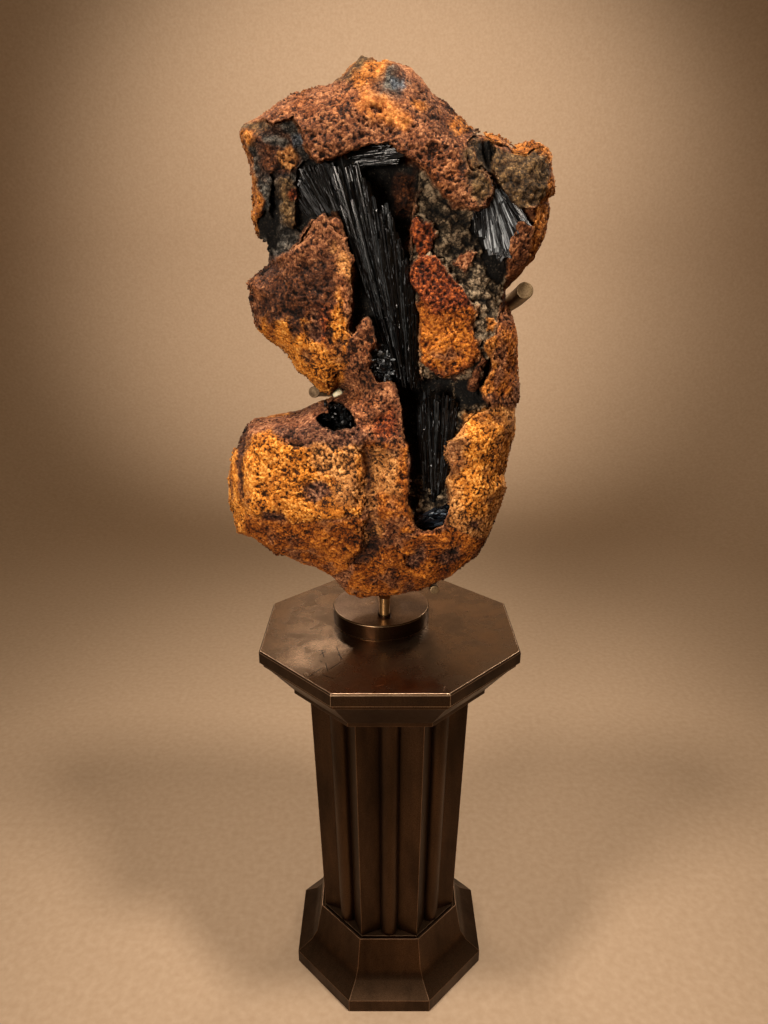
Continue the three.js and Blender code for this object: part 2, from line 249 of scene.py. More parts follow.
rock = {
    # the body, all in mm
    "coreStep": 2.7,  # grid of the core
    "crustStep": 1.95,  # grid of the crusts, which is a little coarser in depth
    "crustDepthStep": 1.3,
    "gridLow": (-322, 856, -168),  # the grid's corners: drawn x, drawn z and depth
    "gridHigh": (292, 1842, 150),
    "crustDepths": (-172, 40),
    "crustMargin": 12,  # how far a crust's grid runs past its outline
    "rimRounding": 62.0,  # how far in from its outline the front turns over, and how squarely
    "rimPower": 2.4,
    "backRounding": 95.0,  # the same at the back
    "backPower": 2.2,
    "backSwell": (120, 6),  # (size, height) of the back's swell
    "backHollows": (130, 16.0),  # (size, depth) of the broad hollows in it
    "coreInset": 16,  # how far below a crust the core lies
    "rimInset": 2,  # how far inside the rock's outline the core stays
    "crustThickness": 26.0,
    "thinEdge": (0.45, 60),  # share of it that is left at the outline, and where it is whole again
    "tuck": 0.4,  # how fast a crust's side sinks into the core behind the middle
    "overhang": 5.0,  # how far the crusts' broken edges stand past the core
    "edgeWander": ((24, 4.0), (6, 1.6)),  # (size, reach) of the raggedness of every edge
    "borderWander": (34, 0.9),  # soft borders wander more, as a share of their softness
    "borderMargin": 30,  # how far past its outline an area is worked out
    "boxMargin": 0.5,  # how far inside the box of the part the relief stops
    # the relief
    "lumps": ((74, 6.5), (27, 3.4), (12, 1.6)),  # (size, height)
    "wormTwist": (8, 2.4),  # (size, reach) of the twist that strings grains and pits together
    "grainSize": 4.2,  # the crust's own grains, pits and small caves
    "grainHeight": 1.35,
    "pitSize": 3.7,
    "pitDepth": 2.6,
    "pitDrift": (48, 0.34),  # (size, amount): where the pits and caves crowd together
    "caveSize": 15,
    "caveDepth": 5.0,
    "knobSize": 15,  # rounded knobs of the bare rock, and the nubs on them
    "knobHeight": {"olive": 6.5, "clay": 3.0},
    "nubSize": 7,
    "nubHeight": {"olive": 3.4, "clay": 1.6, "slate": 2.0},
    "layerSize": (24, 12, 4.8),  # the slaty face's thin level layers
    "layerHeight": 3.2,
    "slateGrain": 1.2,
    "foldSize": (70, 60, 26),  # slanting folds on the underside
    "foldTurn": ((0.8, 0, 0.6), (0, 1, 0), (-0.6, 0, 0.8)),
    "foldHeight": 4.0,
    # the patches that colour it
    "dustSize": 46,  # ochre dust on the rust
    "stainSize": 38,  # brown stains on the rust
    "rustingSize": 36,  # rust on the ochres
    "lightSize": 60,  # broad paler and darker areas
    "toneSize": 30,
    "backPatch": 150,
    "backBorder": (60, 34),  # (size, reach) of the border between the front's colours and the back's
    # what each piece is thinned to
    "mostTriangles": {"rock_core": 180000, "crust_top": 140000, "crust_lower": 195000,
                      "crust_islands": 60000, "bare_rock": 130000},
}
# each kind of surface: its colour in the pits, darker as painted shade, at mid height, and on the grains,
# paler as painted highlight
kindLooks = {
    "rust": ("#180b05", "#724328", "#b27b50"),
    "fox": ("#120501", "#62290f", "#b96025"),
    "ochre": ("#351a07", "#9e5b19", "#d0924a"),
    "flame": ("#4f240a", "#a66028", "#cf8d48"),
    "gold": ("#2c1405", "#c4741c", "#f4b458"),
    "tan": ("#2e1a0a", "#b5783d", "#e6ae6b"),
    "pink": ("#241009", "#824d30", "#bb855c"),
    "plum": ("#160a05", "#563222", "#976b4c"),
    "amber": ("#180902", "#86430a", "#cb7e28"),
    "brown": ("#0c0503", "#3e200f", "#724221"),
    "olive": ("#030302", "#352c20", "#95836a"),
    "clay": ("#0c0804", "#42311d", "#83663f"),
    "slate": ("#040404", "#201e1b", "#66635c"),
    # black is painted shade: near-black laid in the deep hollows, gaps and beds behind the crystals
    "black": ("#020202", "#070706", "#1a1815"),
    "grey": ("#0c0f13", "#3a4149", "#87909a"),
}
rockOutline = [
    (-248, 1714), (-244, 1723), (-231, 1731), (-198, 1748), (-182, 1761), (-153, 1775), (-143, 1773),
    (-120, 1783), (-96, 1785), (-81, 1795), (-57, 1817), (-45, 1826), (-29, 1824), (-21, 1819),
    (5, 1817), (32, 1807), (52, 1791), (67, 1774), (84, 1763), (102, 1748), (129, 1722), (145, 1717),
    (165, 1714), (193, 1703), (200, 1696), (222, 1703), (248, 1700), (259, 1693), (267, 1682),
    (268, 1660), (277, 1634), (271, 1614), (274, 1604), (270, 1568), (264, 1548), (249, 1518),
    (238, 1508), (222, 1489), (203, 1470), (203, 1450), (219, 1419), (226, 1391), (229, 1355),
    (237, 1300), (237, 1287), (231, 1254), (233, 1220), (225, 1174), (217, 1133), (223, 1107),
    (211, 1063), (203, 1037), (191, 1003), (172, 966), (151, 951), (124, 924), (97, 911), (73, 897),
    (49, 889), (16, 886), (-20, 880), (-54, 873), (-78, 881), (-90, 892), (-109, 917), (-119, 929),
    (-152, 946), (-200, 964), (-227, 973), (-251, 995), (-270, 1006), (-297, 1015), (-303, 1059),
    (-309, 1075), (-307, 1123), (-300, 1159), (-294, 1181), (-284, 1188), (-273, 1219), (-261, 1234),
    (-229, 1241), (-171, 1251), (-138, 1266), (-116, 1274), (-105, 1279), (-84, 1288), (-78, 1293),
    (-92, 1301), (-104, 1290), (-108, 1285), (-127, 1291), (-138, 1303), (-150, 1315), (-169, 1328),
    (-181, 1352), (-200, 1371), (-227, 1391), (-237, 1401),
    (-246, 1439), (-245, 1455), (-248, 1479), (-231, 1494), (-206, 1512), (-209, 1544), (-226, 1556),
    (-234, 1589), (-231, 1632), (-235, 1667), (-244, 1695),
]
# how far the rock reaches forward and back of y = 0, as (height, reach) from the foot up
frontReach = [(868, 20), (900, 50), (950, 88), (1000, 118), (1060, 136), (1200, 134), (1300, 112),
              (1450, 120), (1560, 112), (1700, 110), (1760, 90), (1800, 56), (1826, 14)]
backReach = [(868, 60), (900, 96), (940, 118), (1000, 126), (1150, 128), (1400, 124), (1560, 116),
             (1700, 96), (1760, 78), (1800, 48), (1826, 14)]
# areas of the front, laid one over the other: kind of surface, how far it stands out (+) or
# in (-) of the rock's reach, how soft its edge is, and its outline; black areas are painted shade
rockAreas = {
    "upperLeftFace": ("slate", -34, 8, [
        (-256, 1720), (-209, 1733), (-193, 1725), (-158, 1739), (-147, 1718), (-140, 1695),
        (-128, 1677), (-92, 1677), (-87, 1606), (-133, 1579), (-161, 1541), (-206, 1510),
        (-240, 1540), (-250, 1600)]),
    "faceCorner": ("clay", -32, 12, [
        (-262, 1732), (-205, 1738), (-196, 1716), (-214, 1690), (-262, 1690)]),
    "faceCornerOchre": ("ochre", -30, 10, [
        (-250, 1722), (-222, 1724), (-214, 1708), (-230, 1692), (-250, 1696)]),
    "faceMottle": ("brown", -33, 30, [
        (-232, 1726), (-190, 1720), (-164, 1702), (-150, 1670), (-179, 1652), (-214, 1660),
        (-236, 1700)]),
    "faceSheen": ("slate", -34, 14, [(-216, 1716), (-186, 1714), (-166, 1700), (-190, 1692), (-214, 1700)]),
    "faceSpot": ("tan", -31, 12, [
        (-182, 1688), (-166, 1694), (-154, 1682), (-160, 1668), (-178, 1670)]),
    "darkGroove": ("black", -62, 8, [
        (-196, 1650), (-186, 1620), (-188, 1560), (-196, 1540), (-206, 1545), (-204, 1600)]),
    "leftStrip": ("ochre", -22, 8, [
        (-262, 1712), (-232, 1700), (-222, 1650), (-214, 1600), (-224, 1560), (-250, 1560)]),
    "leftHollow": ("black", -60, 7, [
        (-226, 1590), (-210, 1600), (-202, 1580), (-204, 1556), (-222, 1556)]),
    "faceKnob": ("clay", -22, 12, [
        (-186, 1650), (-165, 1655), (-152, 1630), (-150, 1580), (-168, 1562), (-184, 1580)]),
    "faceRed": ("fox", -22, 5, [
        (-174, 1624), (-166, 1634), (-152, 1630), (-154, 1616), (-168, 1612)]),
    "faceLump": ("grey", -24, 6, [
        (-158, 1712), (-146, 1718), (-138, 1702), (-146, 1690), (-158, 1696)]),
    "plateBed": ("black", -46, 5, [
        (-152, 1656), (-138, 1676), (-96, 1674), (-90, 1606), (-85, 1591), (-133, 1579),
        (-150, 1560), (-160, 1568)]),
    "fanTrough": ("black", -52, 6, [
        (-104, 1680), (-60, 1690), (-20, 1640), (12, 1600), (36, 1520), (56, 1400), (52, 1290),
        (30, 1270), (4, 1300), (-24, 1380), (-50, 1400), (-68, 1400), (-66, 1500), (-72, 1556),
        (-92, 1600)]),
    "crustVoid": ("black", -82, 5, [
        (-56, 1668), (-16, 1664), (20, 1678), (46, 1668), (50, 1640), (42, 1600), (30, 1540),
        (8, 1550), (-4, 1600), (-40, 1640)]),
    "voidBack": ("brown", -68, 10, [
        (8, 1656), (40, 1652), (46, 1620), (40, 1590), (14, 1590), (4, 1620)]),
    "shelfBed": ("black", -44, 4, [
        (-84, 1680), (-36, 1702), (4, 1704), (30, 1682), (16, 1672), (-16, 1658), (-62, 1660)]),
    "matrix": ("olive", -26, 9, [
        (48, 1664), (74, 1642), (104, 1612), (150, 1596), (176, 1618), (188, 1560), (200, 1500),
        (198, 1450), (186, 1380), (168, 1300), (130, 1262), (60, 1290), (52, 1330), (52, 1420),
        (32, 1500), (40, 1600)]),
    "rightBed": ("black", -36, 6, [
        (134, 1704), (154, 1704), (168, 1680), (176, 1640), (206, 1612), (246, 1584), (240, 1570),
        (204, 1520), (192, 1478), (166, 1490), (152, 1540), (134, 1572), (146, 1600),
        (150, 1660)]),
    "boulder": ("clay", -12, 8, [
        (164, 1700), (200, 1684), (228, 1684), (249, 1700), (280, 1680), (284, 1630), (249, 1604),
        (221, 1597), (203, 1609), (184, 1634), (168, 1668)]),
    "boulderRim": ("ochre", -14, 9, [
        (246, 1706), (262, 1700), (284, 1684), (284, 1610), (262, 1606), (262, 1660), (252, 1690)]),
    "boulderGap": ("black", -70, 4, [
        (150, 1712), (164, 1706), (172, 1690), (164, 1666), (154, 1676)]),
    "boulderLedge": ("ochre", 2, 5, [
        (144, 1722), (166, 1722), (206, 1706), (250, 1712), (268, 1690), (240, 1694), (226, 1684),
        (206, 1684), (196, 1694), (172, 1700), (150, 1712)]),
    "flank": ("ochre", -16, 6, [
        (288, 1640), (262, 1618), (247, 1604), (243, 1578), (238, 1525), (214, 1486), (240, 1490),
        (290, 1560)]),
    "rustPatch": ("rust", -6, 4, [
        (216, 1578), (229, 1581), (246, 1572), (243, 1548), (238, 1520), (222, 1500), (206, 1496),
        (203, 1520), (202, 1548), (211, 1561)]),
    "lowerHollow": ("black", -98, 5, [
        (4, 1312), (16, 1290), (24, 1256), (25, 1211), (38, 1175), (40, 1135), (33, 1080),
        (43, 1047), (54, 1024), (80, 1020), (104, 1032), (114, 1060), (115, 1085), (107, 1116),
        (116, 1146), (102, 1172), (106, 1190), (126, 1215), (150, 1244), (186, 1263),
        (184, 1276), (168, 1300), (130, 1316), (60, 1316)]),
    "hollowWall": ("olive", -56, 9, [
        (110, 1306), (168, 1312), (182, 1270), (150, 1246), (124, 1216), (112, 1240),
        (118, 1280)]),
    "hollowPebbles": ("olive", -86, 14, [
        (42, 1130), (80, 1128), (112, 1130), (114, 1064), (96, 1052), (56, 1054), (40, 1090)]),
    "shadowHollow": ("black", -58, 8, [
        (120, 1308), (150, 1316), (182, 1300), (186, 1276), (150, 1266), (126, 1270)]),
    "rimGap": ("black", -70, 4, [
        (162, 1346), (178, 1350), (184, 1330), (176, 1296), (160, 1288), (156, 1306),
        (170, 1320)]),
    "crustBit": ("rust", -18, 5, [
        (146, 1298), (158, 1302), (174, 1346), (166, 1358), (152, 1330)]),
    "rimCrust": ("rust", 6, 5, [
        (189, 1395), (172, 1386), (169, 1376), (179, 1355), (184, 1332), (172, 1309), (168, 1295),
        (172, 1280), (186, 1266), (250, 1262), (250, 1400), (215, 1440), (196, 1420)]),
    "rimOchre": ("ochre", 6, 5, [
        (189, 1395), (172, 1386), (169, 1376), (179, 1355), (184, 1332), (172, 1309), (168, 1295),
        (176, 1284), (190, 1296), (196, 1340), (198, 1380)]),
    "rimAmber": ("amber", 4, 28, [
        (194, 1410), (232, 1420), (238, 1330), (222, 1286), (200, 1290), (204, 1350)]),
    "orangeSpot": ("ochre", -18, 4, [
        (172, 1422), (184, 1424), (190, 1412), (184, 1400), (172, 1402)]),
    "islandA": ("fox", -10, 3, [
        (41, 1581), (48, 1585), (56, 1577), (74, 1568), (75, 1558), (69, 1548), (67, 1538),
        (53, 1523), (43, 1530), (41, 1546), (34, 1566)]),
    "islandB": ("fox", -2, 3, [
        (33, 1502), (43, 1520), (61, 1525), (81, 1523), (97, 1506), (119, 1482), (143, 1451),
        (150, 1435), (139, 1417), (139, 1400), (157, 1374), (159, 1364), (143, 1335), (114, 1321),
        (99, 1314), (81, 1321), (60, 1345), (59, 1357), (64, 1367), (57, 1379), (55, 1407),
        (52, 1436), (49, 1463), (34, 1480)]),
    "islandBFoot": ("amber", -6, 22, [
        (52, 1440), (80, 1420), (110, 1426), (146, 1432), (139, 1400), (157, 1374), (159, 1362),
        (143, 1335), (99, 1314), (81, 1321), (60, 1345), (57, 1379), (52, 1410)]),
    "islandC": ("pink", -16, 4, [
        (112, 1515), (122, 1525), (137, 1532), (148, 1529), (145, 1518), (129, 1500),
        (113, 1508)]),
    "topCrust": ("rust", 10, 4, [
        (-262, 1732), (-209, 1736), (-193, 1728), (-158, 1739), (-147, 1718), (-140, 1695),
        (-128, 1677), (-118, 1674), (-92, 1677), (-67, 1685), (-36, 1697), (-6, 1699), (16, 1685),
        (41, 1674), (71, 1647), (91, 1622), (114, 1609), (132, 1598), (160, 1599), (173, 1619),
        (174, 1629), (166, 1657), (152, 1665), (137, 1660), (128, 1675), (124, 1698), (134, 1710),
        (150, 1720), (140, 1760), (0, 1860), (-180, 1820)]),
    "crustGrey": ("clay", 7, 20, [
        (118, 1690), (140, 1720), (158, 1660), (176, 1620), (150, 1600), (130, 1640)]),
    "crustDark": ("brown", 6, 30, [
        (30, 1790), (90, 1756), (130, 1716), (100, 1706), (40, 1750)]),
    "crustGold": ("flame", 12, 18, [
        (-54, 1758), (-34, 1774), (-8, 1768), (14, 1752), (34, 1736), (26, 1722), (-4, 1724),
        (-34, 1738)]),
    "crustGoldPit": ("plum", 4, 8, [(-34, 1752), (-22, 1756), (-14, 1746), (-26, 1742)]),
    "crustTip": ("ochre", 10, 20, [
        (-86, 1800), (-50, 1840), (-10, 1836), (0, 1800), (-20, 1784), (-56, 1776)]),
    "crustTipOlive": ("clay", 10, 22, [
        (-96, 1790), (-69, 1808), (-45, 1836), (-24, 1830), (-40, 1808), (-62, 1784)]),
    "crustSpark": ("ochre", 8, 14, [(91, 1739), (108, 1745), (129, 1723), (116, 1716), (98, 1724)]),
    "crustSpark2": ("ochre", 9, 14, [(29, 1763), (46, 1769), (67, 1754), (46, 1746)]),
    "crustBlue": ("slate", 7, 34, [
        (-30, 1788), (-2, 1800), (22, 1806), (38, 1786), (14, 1768), (-12, 1774)]),
    "crustBlueGlint": ("grey", 7, 10, [(6, 1792), (22, 1796), (27, 1782), (12, 1776)]),
    "leftLobe": ("rust", 14, 5, [
        (-112, 1592), (-120, 1588), (-133, 1576), (-137, 1561), (-161, 1541), (-194, 1523),
        (-210, 1508), (-262, 1500), (-262, 1390), (-180, 1310), (-103, 1280), (-84, 1290),
        (-26, 1308), (-39, 1331), (-25, 1352), (-35, 1367), (-24, 1380), (-33, 1412), (-38, 1426),
        (-49, 1422), (-61, 1398), (-67, 1386), (-78, 1398), (-73, 1419), (-68, 1450),
        (-68, 1501), (-60, 1516), (-61, 1524), (-70, 1532), (-72, 1553), (-90, 1560),
        (-103, 1572)]),
    "lobeGold": ("ochre", 6, 16, [
        (-216, 1420), (-180, 1430), (-150, 1420), (-130, 1380), (-96, 1390), (-80, 1350),
        (-90, 1300), (-110, 1280), (-150, 1300), (-200, 1360), (-240, 1380)]),
    "lobeAmber": ("gold", 8, 22, [
        (-214, 1440), (-170, 1450), (-120, 1440), (-86, 1470), (-70, 1400), (-80, 1350), (-96, 1290),
        (-150, 1300), (-210, 1370), (-240, 1400)]),
    "lobeStreak": ("fox", 10, 22, [(-180, 1480), (-120, 1500), (-90, 1440), (-110, 1370), (-150, 1400)]),
    "lobeFibre": ("amber", 9, 26, [(-210, 1484), (-139, 1494), (-122, 1400), (-210, 1396)]),
    "lobeDark": ("brown", 8, 44, [(-230, 1500), (-110, 1520), (-90, 1440), (-150, 1410), (-230, 1430)]),
    "lobeStripe": ("brown", 4, 14, [(-176, 1470), (-166, 1470), (-160, 1400), (-172, 1380)]),
    "lobeStripe2": ("brown", 4, 12, [(-112, 1460), (-104, 1460), (-100, 1390), (-110, 1370)]),
    "lobeStripe3": ("gold", 9, 12, [(-196, 1440), (-184, 1440), (-180, 1380), (-196, 1370)]),
    "lobeStripe4": ("gold", 9, 12, [(-152, 1420), (-140, 1420), (-128, 1350), (-146, 1340)]),
    "lobeShade": ("brown", -4, 22, [
        (-236, 1480), (-200, 1490), (-176, 1478), (-170, 1440), (-196, 1424), (-232, 1430)]),
    "lobeShade2": ("plum", 2, 18, [
        (-146, 1442), (-126, 1444), (-116, 1410), (-124, 1382), (-144, 1390)]),
    "lobeEdge": ("tan", 12, 20, [(-86, 1536), (-66, 1530), (-62, 1500), (-66, 1480), (-88, 1500)]),
    "pillar": ("rust", 4, 10, [
        (-60, 1300), (-36, 1340), (-29, 1321), (-23, 1309), (-8, 1311), (6, 1309), (16, 1290),
        (24, 1256), (24, 1211), (36, 1180), (0, 1160), (-40, 1180), (-60, 1230)]),
    "pillarFoot": ("amber", 4, 12, [
        (-48, 1200), (34, 1190), (40, 1135), (33, 1080), (44, 1040), (54, 1020), (20, 1000),
        (-16, 1004), (-30, 1050), (-34, 1120)]),
    "pillarSand": ("tan", 5, 30, [(-16, 1172), (12, 1168), (16, 1086), (-2, 1064), (-18, 1100)]),
    "rightSand": ("tan", -2, 10, [
        (116, 1148), (102, 1174), (106, 1192), (126, 1215), (150, 1244), (186, 1263), (250, 1262),
        (250, 1060), (200, 1000), (110, 1030), (115, 1085), (107, 1116)]),
    "rightGold": ("gold", -2, 36, [
        (146, 1236), (204, 1256), (226, 1160), (196, 1060), (136, 1046), (124, 1140)]),
    "lobeTop": ("pink", 0, 18, [
        (-290, 1236), (-261, 1252), (-130, 1280), (-86, 1290), (-56, 1250), (-50, 1210),
        (-110, 1196), (-200, 1192), (-282, 1190)]),
    "lobeFront": ("gold", 14, 14, [
        (-276, 1196), (-258, 1212), (-220, 1216), (-196, 1196), (-110, 1190), (-50, 1198), (-46, 1120),
        (-50, 1050), (-110, 1046), (-180, 1034), (-246, 1042), (-284, 1056)]),
    "lobeBand": ("plum", 10, 20, [
        (-206, 1216), (-150, 1240), (-60, 1226), (-40, 1206), (-60, 1178), (-120, 1168),
        (-170, 1184)]),
    "lobeSpots": ("plum", 12, 16, [(-170, 1110), (-120, 1120), (-104, 1090), (-140, 1076)]),
    "lobeTan": ("tan", 14, 20, [
        (-150, 1190), (-60, 1186), (-56, 1080), (-90, 1070), (-110, 1120), (-150, 1150)]),
    "lobeUnderShade": ("plum", 6, 14, [(-250, 1062), (-206, 1056), (-196, 1026), (-236, 1016)]),
    "lobeUnder": ("amber", 4, 14, [
        (-300, 1050), (-246, 1040), (-180, 1032), (-110, 1044), (-50, 1046), (-44, 1010),
        (-80, 940), (-130, 920), (-260, 970)]),
    "lobeSide": ("gold", 0, 5, [
        (-320, 1180), (-284, 1186), (-285, 1090), (-280, 1010), (-330, 1010)]),
    "lobeSeam": ("brown", -3, 5, [
        (-288, 1222), (-262, 1224), (-266, 1180), (-275, 1150), (-277, 1084), (-282, 1084),
        (-283, 1156)]),
    "lobeGroove": ("tan", -12, 26, [
        (-54, 1180), (-20, 1190), (-14, 1120), (-20, 1010), (-44, 996), (-54, 1100)]),
    # painted shade: dark brown down the groove
    "grooveShade": ("brown", -13, 16, [(-46, 1186), (-34, 1190), (-32, 1030), (-44, 1020)]),
    "pillarShade": ("fox", -2, 24, [(-22, 1248), (4, 1254), (8, 1210), (-10, 1202), (-24, 1212)]),
    "footGold": ("amber", 0, 10, [
        (-60, 960), (-10, 990), (30, 1000), (60, 1016), (120, 1026), (190, 1000), (130, 920),
        (0, 860), (-100, 870)]),
    # painted shade: dark brown in the cleft
    "cleft": ("brown", -17, 15, [
        (-80, 946), (-68, 965), (-56, 984), (-39, 994), (-30, 1006), (-11, 999), (-18, 979),
        (-27, 965), (-44, 955), (-56, 948)]),
    "footHollow": ("plum", -10, 16, [
        (35, 950), (48, 985), (68, 990), (70, 968), (54, 944)]),
    "footHollow2": ("plum", -9, 16, [
        (100, 958), (112, 984), (140, 990), (138, 970), (118, 954)]),
    "footHollow3": ("plum", -9, 16, [
        (150, 1022), (160, 1042), (178, 1040), (172, 1022)]),
    "pocket": ("black", -62, 4, [
        (-135, 1241), (-128, 1249), (-114, 1248), (-109, 1268), (-97, 1270), (-89, 1272),
        (-80, 1263), (-61, 1244), (-62, 1230), (-75, 1223), (-104, 1217), (-123, 1227)]),
    "glintBed": ("black", -34, 6, [
        (-34, 1364), (-10, 1372), (6, 1352), (4, 1320), (-16, 1312), (-34, 1330)]),
}
kinds = list(kindLooks)

# the crusts' outlines; each crust is one piece, made of one or more patches
crustCovers = {
    "crust_top": [rockAreas["topCrust"][3]],
    "crust_lower": [[
        (-112, 1592), (-103, 1572), (-90, 1560), (-72, 1553), (-70, 1532), (-60, 1520), (-68, 1501),
        (-68, 1450), (-73, 1419), (-78, 1398), (-67, 1386), (-61, 1398), (-49, 1422), (-38, 1426),
        (-33, 1412), (-24, 1380), (-35, 1367), (-25, 1352), (-39, 1331), (-29, 1321), (-23, 1309),
        (-8, 1311), (6, 1309), (16, 1290), (24, 1256), (24, 1211), (38, 1175), (41, 1135), (33, 1080),
        (43, 1047), (54, 1024), (80, 1020), (104, 1032), (114, 1060), (115, 1085), (107, 1116),
        (116, 1146), (102, 1172), (106, 1192), (126, 1215), (150, 1244), (186, 1263), (184, 1274),
        (172, 1280), (168, 1295), (172, 1309), (184, 1332), (179, 1355), (169, 1376), (172, 1386),
        (189, 1395), (198, 1420), (206, 1450), (260, 1440), (280, 1250), (240, 1000), (120, 850),
        (-100, 850), (-340, 980), (-340, 1200), (-290, 1260), (-290, 1400), (-270, 1500), (-210, 1510),
        (-194, 1523), (-161, 1541), (-137, 1561), (-133, 1576), (-120, 1588)]],
    "crust_islands": [rockAreas[name][3] for name in (
        "rustPatch", "islandA", "islandB", "islandC", "crustBit", "orangeSpot", "boulderLedge")],
    "bare_rock": [rockAreas[name][3] for name in (
        "upperLeftFace", "faceCorner", "matrix", "boulder", "hollowWall")],
}


def rockReach(x, z):
    # over the drawn plane: distance in from the rock's outline, its front and back reach, each
    # kind's share, and distance in from each crust's outline
    place = np.stack([x, z], axis=-1)
    (wideSize, wide), (fineSize, fine) = rock["edgeWander"]
    wanderX = x + wide * roughNoise(place, wideSize, 3, seed=3) + fine * softNoise(place, fineSize, seed=13)
    wanderZ = z + wide * roughNoise(place, wideSize, 3, seed=9) + fine * softNoise(place, fineSize, seed=19)
    borderSize, borderReach = rock["borderWander"]
    ragged = borderReach * roughNoise(place, borderSize, 4, seed=27)
    rim = insideDistance(wanderX * 0.4 + x * 0.6, wanderZ * 0.4 + z * 0.6, rockOutline)
    front = np.interp(z, *zip(*frontReach))
    share = {kind: np.zeros(x.shape) for kind in kinds}
    share["rust"][:] = 1
    offset = np.zeros(x.shape)
    margin = rock["borderMargin"]
    for kind, proud, soft, outline in rockAreas.values():
        low, high = np.min(outline, axis=0) - margin, np.max(outline, axis=0) + margin
        near = (x > low[0]) & (x < high[0]) & (z > low[1]) & (z < high[1])
        edge = insideDistance(wanderX[near], wanderZ[near], outline) + soft * ragged[near]
        weight = smoothStep(-soft * 0.5, soft * 0.5, edge)
        colourWeight = smoothStep(-soft * 0.4, soft * 0.4, edge)
        offset[near] += (proud - offset[near]) * weight
        for other in kinds:
            share[other][near] += ((other == kind) - share[other][near]) * colourWeight
    rounding = np.sqrt(1 - (1 - np.clip(rim / rock["rimRounding"], 0, 1)) ** rock["rimPower"])
    front = (front + offset) * rounding
    swellSize, swell = rock["backSwell"]
    hollowSize, hollow = rock["backHollows"]
    back = np.interp(z, *zip(*backReach)) + swell * roughNoise(place, swellSize, 3, seed=21)
    back = back - hollow * smoothStep(0.05, 0.5, roughNoise(place, hollowSize, 3, seed=25))
    back = back * np.sqrt(1 - (1 - np.clip(rim / rock["backRounding"], 0, 1)) ** rock["backPower"])
    cover = {name: np.max([insideDistance(wanderX, wanderZ, patch) for patch in patches], axis=0)
             for name, patches in crustCovers.items()}
    return rim, front, back, share, cover


def shrunk(values, cells):
    # the lowest value within some cells of each place
    for _ in range(cells):
        padded = np.pad(values, 1, mode="edge")
        values = np.minimum.reduce([padded[1:-1, 1:-1], padded[:-2, 1:-1], padded[2:, 1:-1],
                                    padded[1:-1, :-2], padded[1:-1, 2:]])
    return values


def crustRelief(points, shares):
    # height of the crust's lumps, grains, pits and caves, and its grain tone from -1 to 1: random tone with
    # painted shade in the pits, caves and valleys and painted highlight on what stands out
    height = sum(tall * roughNoise(points, size, 2, seed=40 + size) for size, tall in rock["lumps"])
    crusty = 1 - shares["black"] - shares["olive"] - shares["slate"] - 0.7 * shares["clay"]
    pitted = crusty * (1 - 0.7 * shares["flame"])
    twistSize, twist = rock["wormTwist"]
    twists = [softNoise(points, twistSize, seed) for seed in (81, 82, 83)]
    worms = points + twist * np.stack(twists, axis=-1)
    grains = 1 - 2 * np.clip(cellNoise(worms, rock["grainSize"], seed=61), 0, 1)
    driftSize, drift = rock["pitDrift"]
    density = drift * roughNoise(points, driftSize, 3, seed=87)
    pits = smoothStep(0.1, 0.34, roughNoise(worms, rock["pitSize"], 2, seed=91) + density)
    caves = smoothStep(0.34, 0.5, roughNoise(points, rock["caveSize"], 3, seed=151) + 0.5 * density)
    height += crusty * rock["grainHeight"] * grains
    height -= pitted * (rock["pitDepth"] * pits + rock["caveDepth"] * caves)
    knobs = 1 - 2 * np.clip(cellNoise(points, rock["knobSize"], seed=71), 0, 1)
    nubs = 1 - 2 * np.clip(cellNoise(points, rock["nubSize"], seed=73), 0, 1)
    knob, nub = rock["knobHeight"], rock["nubHeight"]
    height += (shares["olive"] * (knob["olive"] * knobs + nub["olive"] * nubs)
               + shares["clay"] * (knob["clay"] * knobs + nub["clay"] * nubs))
    folded = points @ np.array(rock["foldTurn"]) / np.array(rock["foldSize"])
    folds = 1 - 2 * np.abs(softNoise(folded, 1, seed=161))
    height += shares["amber"] * rock["foldHeight"] * folds
    layers = softNoise(points / np.array(rock["layerSize"]), 1, seed=141)
    height += shares["slate"] * (rock["layerHeight"] * layers + rock["slateGrain"] * grains
                                 + nub["slate"] * nubs)
    # painted shade and highlight: what stands out is paler, what lies deep is darker, with random tone laid
    # over
    tone = pitted * (0.8 * grains - 1.1 * pits - 1.2 * caves) + 0.4 * shares["flame"]
    tone += shares["olive"] * (1.5 * knobs + 0.8 * nubs) + shares["slate"] * (1.0 * layers + 0.5 * grains)
    tone += shares["clay"] * 0.6 * knobs + shares["amber"] * 0.5 * folds
    tone += 0.45 * roughNoise(points, rock["toneSize"], 3, seed=171)
    return height, np.clip(tone + 0.3, -1, 1)


